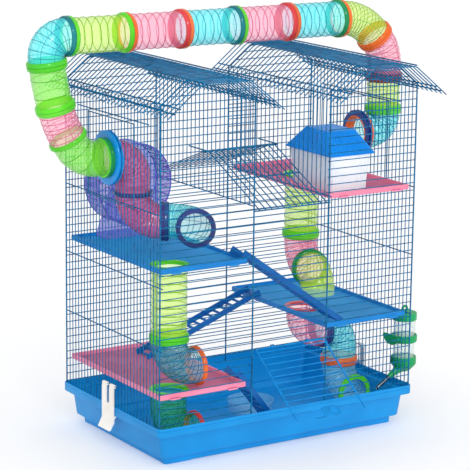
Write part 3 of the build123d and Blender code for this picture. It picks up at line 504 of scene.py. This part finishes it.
rail_high, rung_high, rung_pitch, rung_half = 9, 2.8, 13, 1.9
for node in ("upper_ladder", "middle_ladder", "lower_ladder"):
    shape = whole_faces(node)
    rail = max(shape.edges, key=lambda edge: edge.calc_length())
    down = (rail.verts[0].co - rail.verts[1].co).normalized()
    down = down if down.z < 0 else -down
    up = Vector((-down.z, 0, down.x)) * (1 if down.x > 0 else -1)
    corners = [vert.co.copy() for vert in shape.verts]
    shape.free()
    along = [point @ down for point in corners]
    underside = max(point @ up for point in corners) - rail_high * MM
    middle_y = (min(point.y for point in corners) + max(point.y for point in corners)) / 2
    head = down * min(along) + up * underside + across * middle_y
    long = (max(along) - min(along)) / MM
    bars = [
        slab(head + across * y * MM, head + (down * long + across * y) * MM, up, 1.3, 0, rail_high)
        for y in (-16.7, 16.7)
    ]
    # Rungs from the foot up, then the plate at the head and the hook over the shelf's rim
    steps = [long - (k - 0.5) * rung_pitch for k in range(1, int(long / rung_pitch) + 1)]
    treads = [(at - rung_half, at + rung_half, 15.6, 0.3) for at in steps]
    treads += [(2, 11, 15.6, 0.3), (0, 2.2, 17.6, -3)]
    bars += [
        slab(head + down * start * MM, head + down * end * MM, up, half_wide, low, rung_high)
        for start, end, half_wide, low in treads
    ]
    add_piece(node + "_moulding", mesh_of(node, *bars), ladder_blue,
              nodes=[node], edge=0.5)


# ------------------------------------------------------------------ tray clips
# Thick white ABS levers that turn on the clip wires and hook under the tray's rim on each
# side. ABS moulds glossy, and the thumb keeps them polished: a clear bright highlight.
clip_white = moulded_plastic("moulded_abs_clip", "#f4f1ec", "#eae6df", (0.22, 0.34))
for node in ("left_clip", "right_clip"):
    carried_over(node, clip_white, 0.7)


# ------------------------------------------------------------------ nest house
# A polystyrene box with a doorway and ribbed front and back walls, under a lift-off roof
# with flutes down its slopes. Its walls lean outwards so that the mould releases it.
roof_low, roof_high = (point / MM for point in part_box("house_roof"))
mid_x, mid_y = (roof_low.x + roof_high.x) / 2, (roof_low.y + roof_high.y) / 2
eave_x, eave_y = (roof_high.x - roof_low.x) / 2, (roof_high.y - roof_low.y) / 2
peak_x, peak_y = 25, 30
# Stiff and hard, so both are glossy: the roof carries a sheen and the walls stay milky
house_white = moulded_plastic("moulded_polystyrene_house", "#f0f4f8", "#e6ecf2", (0.25, 0.4))
house_blue = moulded_plastic("moulded_polystyrene_roof", "#0088e2", "#027cd2", (0.25, 0.38))
carried_over("house_roof", house_blue, 0.8)


def on_slope(side_x, side_y, rise):
    """A point of the nest roof: side_x and side_y from -1 to 1 across, rise from 0 to 1."""
    x = mid_x + side_x * (eave_x + (peak_x - eave_x) * rise)
    y = mid_y + side_y * (eave_y + (peak_y - eave_y) * rise)
    return Vector((x, y, roof_low.z + (roof_high.z - roof_low.z) * rise)) * MM


body_low, body_high = (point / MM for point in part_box("house_body"))
body_tall = body_high.z - body_low.z
flare = body_tall * 0.0875  # walls that lean by five degrees
top_x, top_y = (body_high.x - body_low.x) / 2, (body_high.y - body_low.y) / 2


def house_ring(inset, rise):
    """A ring round the house's wall, inset from its outside, rise from 0 to 1 up the wall."""
    half_x, half_y = top_x - flare * (1 - rise) - inset, top_y - flare * (1 - rise) - inset
    z = body_low.z + body_tall * rise
    return rounded_ring(half_x, half_y, 3.5 - inset, z, (mid_x, mid_y), 4)


shell = skin([
    house_ring(0.6, 0), house_ring(0, 0.012), house_ring(0, 0.988), house_ring(0.5, 1),
    house_ring(1.6, 1), house_ring(2, 0.99), house_ring(2, 0.05), house_ring(3, 0.04),
])
house = add_piece("house_body_moulding", mesh_of("house_body", shell), house_white,
                  nodes=["house_body"])
# The doorway is cut through the right wall, and through the floor behind it down to the
# shelf: straight jambs under a round arch
door_half_y, arch_from, arch_high = 19, 27, 18
arch = [Vector((0, y, z)) for y, z in (
    (-door_half_y, -4), (door_half_y, -4), (door_half_y, arch_from),
)]
arch += [
    Vector((0, door_half_y * cos(turn), arch_from + arch_high * sin(turn)))
    for turn in (k * pi / 16 for k in range(1, 17))
]
doorway = bpy.data.objects.new("doorway_cutter", mesh_of("doorway", skin([
    [(Vector((mid_x + out, mid_y, body_low.z)) + point) * MM for point in arch]
    for out in (5, 60)
])))
cut = house.modifiers.new("doorway", "BOOLEAN")
cut.object, cut.operation, cut.solver = doorway, "DIFFERENCE", "EXACT"
bpy.context.scene.collection.objects.link(doorway)
bpy.context.view_layer.update()
opened = bpy.data.meshes.new_from_object(
    house.evaluated_get(bpy.context.evaluated_depsgraph_get())
)
house.modifiers.clear()
house.data = opened
bpy.data.objects.remove(doorway)
flutes, wall_ribs = [], []
for side in (-1, 1):
    for k in range(-6, 7):
        place = k / 6.8
        flutes.append(([on_slope(side, place, rise) for rise in (0.06, 0.95)], 0.9 * MM))
        flutes.append(([on_slope(place, side, rise) for rise in (0.06, 0.95)], 1.1 * MM))
        x = mid_x + k * (top_x - 4) / 6.4
        wall_ribs.append(([
            Vector((x, mid_y + side * (top_y - flare * (1 - rise) - 0.1),
                    body_low.z + body_tall * rise)) * MM
            for rise in (0.03, 0.97)
        ], 0.8 * MM))
eaves = [on_slope(x, y, 0.02) for x, y in ((-1, -1), (1, -1), (1, 1), (-1, 1))]
for start, end in zip(eaves, eaves[1:] + eaves[:1]):
    flutes.append(([start * 0.992 + end * 0.008, end * 0.992 + start * 0.008], 0.6 * MM))
add_piece("house_wall_ribs", wire_curve("house_wall_ribs", wall_ribs), house_white)
add_piece("nest_roof_flutes", wire_curve("nest_roof_flutes", flutes), house_blue,
          "nest_roof")


# ------------------------------------------------------------------ wheel
# A running wheel of clear violet polystyrene: a treaded rim between two beads, a ribbed back
# and a hub that turns on the pin of a stand moulded in the same plastic.
def turned(profile, centre, axis, steps=64):
    """Rings of a (radius, height) profile in millimetres, turned about an axis."""
    axis = Vector(axis).normalized()
    side = axis.orthogonal().normalized()
    rings = []
    for radius, height in profile:
        rings.append([
            centre + (axis * height + Quaternion(axis, 2 * pi * k / steps) @ side * radius) * MM
            for k in range(steps)
        ])
    return rings


# Clear moulded sheet is pale and glassy face on; its ribs and edges gather the tint, darker
violet = moulded_plastic(
    "clear_violet_polystyrene", "#8f86e6", "#7b6fdc", (0.08, 0.2), alpha=0.5, relief=0.02
)
violet_edge = moulded_plastic(
    "clear_violet_polystyrene_edge", "#6f62d0", "#5d50c4", (0.08, 0.2), alpha=0.8, relief=0.02
)
wheel_low, wheel_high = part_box("wheel")
wheel_mid = Vector(((wheel_low.x + wheel_high.x) / 2, wheel_low.y,
                    (wheel_low.z + wheel_high.z) / 2))
wheel_r, wheel_deep = (wheel_high.x - wheel_low.x) / 2 / MM, (wheel_high.y - wheel_low.y) / MM
front_to_back = (0, 1, 0)
rim = skin(turned(
    [(wheel_r - 0.4, 0.6), (wheel_r - 0.6, wheel_deep - 1), (wheel_r - 2.2, wheel_deep - 1),
     (wheel_r - 2.2, 0.6)], wheel_mid, front_to_back, 96), loop=True)
back = skin(turned(
    [(wheel_r - 1.5, wheel_deep - 0.4), (40, wheel_deep - 0.2), (11, wheel_deep - 0.2),
     (11, wheel_deep - 1.9), (40, wheel_deep - 1.9), (wheel_r - 1.5, wheel_deep - 1.9)],
    wheel_mid, front_to_back, 96), loop=True)
add_piece("wheel_shell", mesh_of("wheel_shell", rim, back), violet, "wheel",
          ["wheel"])


def on_wheel(radius, turn, deep):
    """A point of the wheel by radius, angle and distance from its front, in millimetres."""
    return wheel_mid + Vector((radius * cos(turn), deep, radius * sin(turn))) * MM


# Treads across the rim, then ribs along the back from the hub
tread_r, rib_deep = wheel_r - 2.4, wheel_deep - 2.2
wheel_ribs = [
    ([on_wheel(tread_r, turn, deep) for deep in (1, wheel_deep - 2)], 0.8 * MM)
    for turn in (k * pi / 18 for k in range(36))
]
wheel_ribs += [
    ([on_wheel(radius, turn, rib_deep) for radius in (12, wheel_r - 3)], 0.7 * MM)
    for turn in (k * pi / 9 for k in range(18))
]
add_piece("wheel_ribs", wire_curve("wheel_ribs", wheel_ribs), violet_edge,
          "wheel")
beads = [
    ([on_wheel(radius, k * pi / 48, deep) for k in range(96)], thick * MM)
    for radius, deep, thick in (
        (wheel_r - 1.1, 1.1, 1.1), (wheel_r - 1.1, wheel_deep - 1.1, 1.1),
        (44, rib_deep, 0.8), (24, rib_deep, 0.8),
    )
]
add_piece("wheel_hoops", wire_curve("wheel_hoops", beads, closed=True), violet_edge,
          "wheel")
hub = skin(turned(
    [(3.2, wheel_deep - 14), (5.5, wheel_deep - 14), (7, wheel_deep - 12.5), (9, wheel_deep - 3),
     (11.5, wheel_deep - 1), (11.5, wheel_deep - 0.2), (3.2, wheel_deep - 0.2)],
    wheel_mid, front_to_back, 40), loop=True)
add_piece("wheel_hub", mesh_of("wheel_hub", hub), violet_edge, "wheel")
# Thicker than the wheel and less polished, so it hides a little more behind it
stand_violet = moulded_plastic(
    "clear_violet_stand", "#8d84e0", "#7d73d6", (0.12, 0.24), alpha=0.55
)
carried_over("wheel_stand", stand_violet, 0.8)


# ------------------------------------------------------------------ tubes
# Clear tinted polystyrene, moulded smooth outside with thin raised hoops and long ribs that
# show as darker lines. Each end wears half of a rounded snap ring in a deeper colour.
tube_r, half_ring = 27.0, 7.0


def tube_runs(node, near):
    """The bent middle line of each tube in a CAD node, starting at the end nearest near."""
    shape = joined_shape(node)
    runs = []
    for solid in solids_of(shape):
        # The flat ring at one end, then ring after ring along the edges
        caps = {}
        for vert in solid:
            for face in vert.link_faces:
                normal = tuple(round(part, 3) for part in face.normal)
                plane = normal, round(face.normal @ face.verts[0].co, 5)
                caps.setdefault(plane, set()).update(corner.index for corner in face.verts)
        ring = min((ends for ends in caps.values() if len(ends) == 16), key=sorted)
        line, done = [], set()
        while ring:
            line.append(sum((shape.verts[k].co for k in ring), Vector()) / len(ring))
            done |= ring
            ring = {
                edge.other_vert(shape.verts[k]).index for k in ring
                for edge in shape.verts[k].link_edges
            } - done
        runs.append(line)
    shape.free()
    runs = [r[::-1] if (r[0] - near).length > (r[-1] - near).length else r for r in runs]
    return sorted(runs, key=lambda r: (r[0] - near).length)


def smooth_run(line):
    """The mitred line turned back into its true bend, with points every 2 mm or so."""
    last = len(line) - 2
    room = [
        (b - a).length - half_ring * MM if k in (0, last) else (b - a).length / 2
        for k, (a, b) in enumerate(zip(line, line[1:]))
    ]
    knots = [line[0]]
    for k, (before, corner, after) in enumerate(zip(line, line[1:], line[2:])):
        reach = max(min(room[k], room[k + 1]), 0)
        start = corner + (before - corner).normalized() * reach
        end = corner + (after - corner).normalized() * reach
        knots += bend(start, corner, end, 8)
    knots.append(line[-1])
    points = [knots[0]]
    for knot in knots[1:]:
        start, length = points[-1], (knot - points[-1]).length
        if length > 0.5 * MM:
            count = max(1, round(length / (2.5 * MM)))
            points += [start.lerp(knot, (k + 1) / count) for k in range(count)]
    return points


def cross_frames(points):
    """The heading and two axes across it at each point, carried along without twist."""
    headings = [
        (points[min(k + 1, len(points) - 1)] - points[max(k - 1, 0)]).normalized()
        for k in range(len(points))
    ]
    side = headings[0].orthogonal().normalized()
    frames = []
    for heading in headings:
        side = (side - heading * side.dot(heading)).normalized()
        frames.append((heading, side, heading.cross(side)))
    return frames


def on_tube(place, axes, turn, radius):
    """A point round a tube's middle line, at an angle and a radius in millimetres."""
    heading, u, v = axes
    return place + (u * cos(turn) + v * sin(turn)) * radius * MM


def clear_plastic(name, colour, shade, alpha):
    """Clear tinted polystyrene: glassy, with a tint a little deeper where it is thicker."""
    return moulded_plastic(name, colour, shade, (0.06, 0.16), alpha, grain=6, relief=0.05)


# Each tint: its two tones, the darker line that its hoops and ribs show, how much it hides,
# the ribs on a bend and its material slot
tints = {
    "lime": ("#d6f65c", "#c4f04a", "#6fae1e", 0.46, 4, "green_tube"),
    "green": ("#8cec3c", "#76dc2c", "#3c9a14", 0.54, 0, "green_tube"),
    "pink": ("#ffa6c4", "#ff93b6", "#cf4f78", 0.44, 6, "pink_tube"),
    "cyan": ("#5cf4fa", "#48ecf4", "#157f96", 0.54, 8, "cyan_tube"),
    "red": ("#e0669a", "#cc548a", "#94355f", 0.56, 6, "red_tube"),
    "blue": ("#8fdcf2", "#7fd0ec", "#2878a8", 0.44, 4, "cyan_tube"),
    "leaf": ("#30b060", "#24a054", "#0f6a34", 0.42, 4, "green_tube"),
    "teal": ("#38acc0", "#2c9cb0", "#0e5a70", 0.48, 8, "cyan_tube"),
}
shells = {
    tint: clear_plastic(f"clear_{tint}_polystyrene", colour, shade, hides)
    for tint, (colour, shade, line, hides, ribs, slot) in tints.items()
}
# Light runs along the raised lines, which look solid and dark against the clear wall
hoop_finish = {
    tint: clear_plastic(f"clear_{tint}_polystyrene_hoop", line, line, 0.85)
    for tint, (colour, shade, line, hides, ribs, slot) in tints.items()
}
# The rings are far thicker than the tubes: a deep colour, with a bright rounded edge
ring_finish = {
    name: clear_plastic(f"clear_{name}_snap_ring", colour, shade, 0.86)
    for name, colour, shade in (
        ("green", "#5fd82c", "#4cc41f"), ("teal", "#177f86", "#0f6f78"),
        ("orange", "#f0702c", "#e0601e"), ("red", "#e04848", "#cc3434"),
        ("forest", "#1f8f50", "#177f44"), ("navy", "#2b3f86", "#20326f"),
        ("maroon", "#8f2430", "#7c1a26"),
    )
}
left_ring = sum(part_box("left_wall_ring"), Vector()) / 2
high_up = Vector((0, 0, 9))
# Each chain: a point that its first tube starts nearest, then every tube with its tint and
# its two snap rings
chains = (
    (left_ring + Vector((-1, 0, 0)), (
        ("left_elbow", "green", None, "green"), ("left_low_bend", "pink", "green", "green"),
        ("left_high_bend", "green", "green", "green"),
        ("left_top_elbow", "cyan", "green", "teal"),
        ("top_tubes", "lime", "green", "green"), ("top_tubes", "pink", "orange", "red"),
        ("top_tubes", "cyan", "orange", "teal"), ("top_tubes", "pink", "green", "red"),
        ("top_tubes", "cyan", "orange", "forest"),
        ("right_top_bend", "lime", "orange", "orange"),
        ("right_low_bend", "pink", "orange", "maroon"),
        ("right_riser", "lime", "maroon", "green"), ("right_elbow", "cyan", "green", None),
    )),
    (left_ring + Vector((1, 0, 0)), (
        ("entry_elbow", "red", None, "navy"), ("slide_bend", "red", "navy", "navy"),
        ("slide_elbow", "cyan", "navy", "navy"),
    )),
    (high_up, (
        ("left_drop", "lime", "green", "green"), ("left_drop_elbow", "teal", "green", "orange"),
    )),
    (high_up, (("left_floor_elbow", "leaf", "green", "red"),)),
    (high_up, (
        ("right_drop", "lime", "green", "green"), ("right_drop_elbow", "pink", "green", "forest"),
        ("right_outlet", "lime", "forest", None),
    )),
    (high_up, (
        ("middle_elbow", "pink", "red", "navy"), ("middle_low_elbow", "cyan", "navy", "orange"),
        ("right_floor_elbow", "blue", "orange", "green"),
    )),
)
ring_profile = [
    (tube_r - 4.2, 0.15), (tube_r + 2.4, 0.1), (tube_r + 3.1, 0.8), (tube_r + 3.1, 4.2),
    (tube_r + 2.3, 5.8), (tube_r + 1.2, 6.8), (tube_r + 0.1, half_ring),
    (tube_r - 0.6, half_ring - 0.4), (tube_r - 0.6, 2.2), (tube_r - 4.2, 1.8),
]
rings_by_colour = {}
top_runs = tube_runs("top_tubes", left_ring + Vector((-9, 0, 9)))
# The tinted wall, and the middles of the hoops and ribs that stand out of it
wall_r, line_r = tube_r - 0.2, tube_r - 0.35
for near, tubes in chains:
    for node, tint, *ring_colours in tubes:
        if node == "top_tubes":
            line, name = top_runs.pop(0), f"top_tube_{5 - len(top_runs)}"
        else:
            line, name = tube_runs(node, near)[0], node + "_tube"
        *_, rib_count, slot = tints[tint]
        points = smooth_run(line)
        frames = cross_frames(points)
        near = points[-1]
        wall = [
            [on_tube(place, axes, 2 * pi * k / 48, wall_r) for k in range(48)]
            for place, axes in zip(points, frames)
        ]
        add_piece(name, mesh_of(name, skin(wall, ends=False)), shells[tint], nodes=[node])
        # Hoops lie 13 mm apart on a straight tube and 7 mm on a bend, which has the ribs
        # too. The green tubes are smoother, with a hoop every 22 mm and no ribs.
        bent = len(line) > 2
        reach = [0.0]
        for a, b in zip(points, points[1:]):
            reach.append(reach[-1] + (b - a).length / MM)
        between = reach[-1] - 2 * half_ring
        count = max(2, round(between / (22 if tint == "green" else 7 if bent else 13)))
        hoops = []
        for k in range(count):
            wanted = half_ring + (k + 0.5) * between / count
            at = min(range(len(points)), key=lambda j: abs(reach[j] - wanted))
            hoop = [on_tube(points[at], frames[at], pi * j / 24, line_r) for j in range(48)]
            hoops.append((hoop, (0.5 if bent else 0.65) * MM))
        add_piece(name + "_hoops", wire_curve(name + "_hoops", hoops, closed=True),
                  hoop_finish[tint])
        if bent and rib_count:
            ribs = [
                ([on_tube(place, axes, turn, line_r)
                  for place, axes in zip(points, frames)][2:-2], 0.4 * MM)
                for turn in (k * 2 * pi / rib_count + pi / 4 for k in range(rib_count))
            ]
            add_piece(name + "_ribs", wire_curve(name + "_ribs", ribs), hoop_finish[tint])
        ends = (points[0], frames[0][0]), (points[-1], -frames[-1][0])
        for colour, (end, inward) in zip(ring_colours, ends):
            if colour:
                ring = skin(turned(ring_profile, end, inward, 56), loop=True)
                rings_by_colour.setdefault(colour, []).append(ring)
for colour, skins in rings_by_colour.items():
    add_piece(f"{colour}_snap_rings", mesh_of(colour + "_snap_rings", *skins),
              ring_finish[colour], nodes=["outer_collars", "inner_collars"])


# ------------------------------------------------------------------ wall rings
# Two-part ABS rings that clamp the wires of the side doors between their flanges. A tinted
# sleeve carries the outside tube, and a lining of the same tint runs on through the wall.
wall_x, bore_r = 228.0, 27.3
# ABS takes a high polish, so the flanges show one clean highlight round their rim
ring_blue = moulded_plastic("moulded_abs_blue_ring", "#0a8cdc", "#067fce", (0.2, 0.3))
ring_navy = moulded_plastic("moulded_abs_navy_ring", "#1f3f8c", "#19357c", (0.2, 0.3))
for node, material, sleeve_colour, slot, side in (
    ("left_wall_ring", ring_blue, "forest", "ring_plastic", -1),
    ("right_wall_ring", ring_navy, "orange", "collar_plastic", 1),
):
    low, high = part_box(node)
    flange_r = (high.z - low.z) / 2 / MM
    centre = Vector((side * wall_x * MM, (low.y + high.y) / 2, (low.z + high.z) / 2))
    out = (high.x if side > 0 else -low.x) / MM - wall_x
    flange = [
        (30.4, 4.9), (flange_r - 1.6, 4.9), (flange_r - 0.5, 4.4), (flange_r, 3.4),
        (flange_r, 2.0), (flange_r - 0.6, 1.0), (30.6, 0.95), (30.6, -0.95),
        (flange_r - 0.8, -0.95), (flange_r - 0.1, -1.6), (flange_r - 0.1, -2.8),
        (flange_r - 1, -3.8), (bore_r, -3.9), (bore_r, 0),
    ]
    sleeve = [(bore_r, out - 0.2), (29.6, out), (30.3, out - 0.8), (30.3, 0), (bore_r, 0)]
    lining = [
        (27.25, out - 0.5), (27.25, -3.8), (24.6, -3.9), (24.0, -3.2), (24.0, out - 1.2),
        (24.6, out - 0.5),
    ]
    for part, profile, steps, finish, nodes in (
        ("flanges", flange, 72, material, [node]),
        ("sleeve", sleeve, 72, ring_finish[sleeve_colour], []),
        ("lining", lining, 56, ring_finish[sleeve_colour], []),
    ):
        rings = turned(profile, centre, (side, 0, 0), steps)
        add_piece(f"{node}_{part}", mesh_of(f"{node}_{part}", skin(rings, loop=True)), finish,
                  nodes=nodes)


# ------------------------------------------------------------------ water bottle
# A clear styrene bottle under a green polypropylene lid, in a clasp that grips the side
# wall. The green cap ends in a neck for a stainless spout that slopes through the wires.
upright = (0, 0, 1)
bottle_low, bottle_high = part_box("bottle")
bottle_mid = Vector(((bottle_low.x + bottle_high.x) / 2, (bottle_low.y + bottle_high.y) / 2, 0))
bottle_y = bottle_mid.y / MM
# Nearly colourless and very smooth: mostly what is behind it, and sharp small highlights
bottle_clear = moulded_plastic(
    "clear_styrene_bottle", "#e6f1ee", "#dbe9e6", (0.04, 0.1), alpha=0.22, relief=0.01
)
# Flexible and slightly waxy, with softer highlights than the tubes beside it
bottle_green = moulded_plastic("moulded_polypropylene_green", "#12a05c", "#0a8f4f", (0.28, 0.4))
low_z, high_z = bottle_low.z / MM, bottle_high.z / MM
bottle_r = 18
bottle_body = skin(turned(
    [(16.2, low_z), (17.6, low_z), (17.6, low_z + 18), (bottle_r, low_z + 20),
     (bottle_r, high_z - 4), (17, high_z - 1.2), (14.5, high_z), (13, high_z - 1.4),
     (16.4, high_z - 4.4), (16.4, low_z + 1)],
    bottle_mid, upright, 56), loop=True)
add_piece("bottle_body", mesh_of("bottle_body", bottle_body), bottle_clear,
          nodes=["bottle"])
bottle_hoops = [
    ([bottle_mid + Vector((bottle_r * cos(turn), bottle_r * sin(turn), z)) * MM
      for turn in (k * pi / 28 for k in range(56))], 0.35 * MM)
    for z in (low_z + 46, low_z + 52, low_z + 58)
]
add_piece("bottle_hoops", wire_curve("bottle_hoops", bottle_hoops, closed=True), bottle_clear)
cap_rings = turned(
    [(2, 71.5), (7, 72), (12, 75), (17.4, 81), (19.4, 83.6), (20.3, 85), (20.3, 96), (19.6, 97),
     (18.2, 97), (18.2, 94.9), (2, 94.9)], bottle_mid, upright, 60)
# Grooves 0.7 mm deep between the cap's grips
for ring in cap_rings[5:7]:
    for k in range(1, 60, 2):
        ring[k] = ring[k] - (ring[k] - bottle_mid).to_2d().to_3d().normalized() * 0.7 * MM
slope = radians(32)
spout_way = Vector((-cos(slope), 0, -sin(slope)))
spout_from = Vector((244, bottle_y, 78.5)) * MM
neck = skin(turned(
    [(8.5, -3), (8.2, 3), (6.4, 8), (5.2, 14), (4.7, 22), (4.2, 25), (3.1, 25.2), (3.1, -3)],
    spout_from, spout_way, 32), loop=True)
add_piece("bottle_cap_moulding", mesh_of("bottle_cap", skin(cap_rings), neck), bottle_green,
          nodes=["bottle_cap"])
# The clasp: a band, a neck through the wires and a leaf-shaped plate inside them
clasp_z = sum(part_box("bottle_clasp"), Vector()).z / 2 / MM
band = skin(turned(
    [(18.5, clasp_z - 5), (19.2, clasp_z - 6), (20.4, clasp_z - 5.4), (20.9, clasp_z - 4),
     (20.9, clasp_z + 4), (20.4, clasp_z + 5.4), (19.2, clasp_z + 6), (18.5, clasp_z + 5)],
    bottle_mid, upright, 56), loop=True)
clasp_neck = skin([
    [Vector((x, bottle_y + side_y * half_y, clasp_z + side_z * half_z)) * MM
     for side_y, side_z in ((-1, -1), (1, -1), (1, 1), (-1, 1))]
    for x, half_y, half_z in ((wall_x - 4, 3.3, 3.6), (wall_x + 1.4, 3.3, 3.6),
                              (wall_x + 1.8, 9, 4.6), (wall_x + 6, 8, 4.6))
])
leaf_outline = (
    (-21, 3), (-19, 7.5), (-6, 8.5), (6, 8.5), (19, 7.5), (21, 3), (14, -4.5), (5, -8),
    (-5, -8), (-14, -4.5),
)
leaf = skin([
    [Vector((wall_x - x, bottle_y + y * wide, clasp_z + z * wide)) * MM
     for y, z in leaf_outline]
    for x, wide in ((2.2, 0.97), (2.6, 1), (4.4, 1), (4.8, 0.97))
])
add_piece("bottle_clasp_moulding", mesh_of("bottle_clasp", band, clasp_neck, leaf), bottle_green,
          nodes=["bottle_clasp"])
# The lid overlaps the bottle and has an eye on top to hang it by
lid = skin(turned(
    [(2, high_z + 0.2), (15.6, high_z + 0.2), (17.9, high_z - 5), (18.3, high_z - 8.6),
     (19.2, high_z - 9), (19.6, high_z - 8), (19.6, high_z + 1.6), (18.8, high_z + 2.8),
     (6, high_z + 3.4), (2, high_z + 3.4)], bottle_mid, upright, 56), loop=True)
eye = skin(turned(
    [(3.0, -1.8), (5.4, -1.8), (5.9, -1.2), (5.9, 1.2), (5.4, 1.8), (3.0, 1.8), (2.6, 1.2),
     (2.6, -1.2)], bottle_mid + Vector((0, 0, high_z + 8.6)) * MM, (0, 1, 0), 32), loop=True)
add_piece("bottle_top_moulding", mesh_of("bottle_top", lid, eye), bottle_green,
          nodes=["bottle_top"])


def stainless(name):
    """Drawn stainless tube: a hard bright line beside a dark one, broken by draw marks. The dark
    is a painted reflection: the metal's colour is darkened below bare steel to stand for dark
    surroundings. The marks are drawn every 0.6 mm, some ten times coarser than real, so that they
    show."""
    material = blank_material(name)
    place = add_node(material, "ShaderNodeTexCoord").outputs["Object"]
    marks = add_node(
        material, "ShaderNodeTexNoise", {"Scale": 1 / (0.6 * MM), "Detail": 1.0}, {"Vector": place}
    )
    tone = add_node(material, "ShaderNodeValToRGB", links={"Fac": marks.outputs["Fac"]})
    # Both tones are darker than bare stainless, a painted dark reflection, mixed by the draw marks
    tone.color_ramp.elements[0].color = linear("#54585c")
    tone.color_ramp.elements[1].color = linear("#9a9ea2")
    rough = add_node(
        material, "ShaderNodeMapRange", {"To Min": 0.14, "To Max": 0.3},
        {"Value": marks.outputs["Fac"]},
    )
    shader = add_node(
        material, "ShaderNodeBsdfPrincipled", {"Metallic": 1.0},
        {"Base Color": tone.outputs["Color"], "Roughness": rough.outputs["Result"]},
    )
    add_node(material, "ShaderNodeOutputMaterial", links={"Surface": shader.outputs["BSDF"]})
    return material


spout = skin(turned(
    [(2.2, 8), (3.05, 8), (3.05, 50), (2.9, 52), (2.5, 53.4), (2.2, 54), (1.8, 53)],
    spout_from, spout_way, 28), loop=True)
add_piece("bottle_spout_tube", mesh_of("bottle_spout", spout), stainless("drawn_stainless_painted_dark_reflection"),
          nodes=["bottle_spout"])


# ------------------------------------------------------------------ food bowl
# A low bowl of clear polystyrene with a rolled lip, loose on the tray's floor. The tray
# shows through its thin wall, and the thick lip catches a bright ring of light.
bowl_low, bowl_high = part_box("food_bowl")
bowl_mid = Vector(((bowl_low.x + bowl_high.x) / 2, (bowl_low.y + bowl_high.y) / 2, bowl_low.z))
bowl_h, bowl_r = (bowl_high.z - bowl_low.z) / MM, (bowl_high.y - bowl_low.y) / 2 / MM
bowl = skin(turned(
    [(0.5, 2.6), (0.5, 0), (bowl_r - 5, 0), (bowl_r - 3, 0.8), (bowl_r - 1.4, bowl_h - 4),
     (bowl_r - 0.2, bowl_h - 2.4), (bowl_r - 0.2, bowl_h - 0.8), (bowl_r - 1.2, bowl_h),
     (bowl_r - 2.4, bowl_h - 0.8), (bowl_r - 3.4, bowl_h - 5), (bowl_r - 5.5, 3.6),
     (bowl_r - 8, 2.6)], bowl_mid, upright, 64), loop=True)
bowl_clear = moulded_plastic(
    "clear_polystyrene_bowl", "#8fcbe8", "#7fbfe0", (0.05, 0.12), alpha=0.26, relief=0.02
)
add_piece("bowl", mesh_of("bowl", bowl), bowl_clear, nodes=["food_bowl"])


# ------------------------------------------------------------------ floor, lights and camera
# A pale matt floor in an even white room, a broad key sun that casts no shadows, so that the
# wires don't stripe everything inside, and a soft box that does. The camera stands to the
# left of the front, a little above.
scene = bpy.context.scene
# Matt paper sheet, whose white drifts very slightly over some 2 m: only soft shadows show
paper = blank_material("matt_paper")
fibres = add_node(paper, "ShaderNodeTexNoise", {"Scale": 9.0, "Detail": 3.0})
paper_tone = add_node(paper, "ShaderNodeValToRGB", links={"Fac": fibres.outputs["Fac"]})
paper_tone.color_ramp.elements[0].color = linear("#f7f8f9")
paper_tone.color_ramp.elements[1].color = linear("#fdfdfd")
paper_shader = add_node(
    paper, "ShaderNodeBsdfPrincipled", {"Roughness": 0.85},
    {"Base Color": paper_tone.outputs["Color"]},
)
add_node(paper, "ShaderNodeOutputMaterial", links={"Surface": paper_shader.outputs["BSDF"]})
floor_mesh = bpy.data.meshes.new("floor")
floor_mesh.from_pydata([(-9, -9, 0), (9, -9, 0), (9, 9, 0), (-9, 9, 0)], [], [(0, 1, 2, 3)])
floor_mesh.materials.append(paper)
floor_sheet = bpy.data.objects.new("floor", floor_mesh)
scene.collection.objects.link(floor_sheet)

scene.view_settings.view_transform = "Standard"
world = scene.world or bpy.data.worlds.new("room")
scene.world = world
world.use_nodes = True
world.node_tree.nodes.clear()
# The room lights the cage a little less than the white that shows past the floor's edge
room, backdrop = (
    add_node(world, "ShaderNodeBackground", {"Color": linear("#ffffff"), "Strength": strength})
    for strength in (0.82, 1.0)
)
seen = add_node(world, "ShaderNodeLightPath").outputs["Is Camera Ray"]
both = add_node(world, "ShaderNodeMixShader", links={"Fac": seen})
world.node_tree.links.new(room.outputs["Background"], both.inputs[1])
world.node_tree.links.new(backdrop.outputs["Background"], both.inputs[2])
add_node(world, "ShaderNodeOutputWorld", links={"Surface": both.outputs["Shader"]})
cage_middle = Vector((0, 0, 0.3))
for name, kind, place, power in (
    ("key_light", "SUN", (-0.95, -2.8, 2.4), 1.35), ("soft_box", "AREA", (-1.1, -2.5, 1.9), 12),
):
    lamp = bpy.data.lights.new(name, kind)
    lamp.energy = power
    if kind == "SUN":
        lamp.angle, lamp.use_shadow = radians(12), False
    else:
        lamp.size = 1.6
    light = bpy.data.objects.new(name, lamp)
    scene.collection.objects.link(light)
    light.location = place
    aim = cage_middle - Vector(place)
    light.rotation_euler = aim.to_track_quat("-Z", "Y").to_euler()

lens = bpy.data.cameras.new("camera")
lens.lens, lens.sensor_width = 164.1, 36
camera = bpy.data.objects.new("camera", lens)
scene.collection.objects.link(camera)
camera.matrix_world = (
    Matrix.Translation((-1.77156, -2.72368, 1.02675))
    @ Matrix.Rotation(radians(-32.913), 4, "Z")
    @ Matrix.Rotation(radians(90 - 12.566), 4, "X")
    @ Matrix.Rotation(radians(0.712), 4, "Z")
)
scene.camera = camera
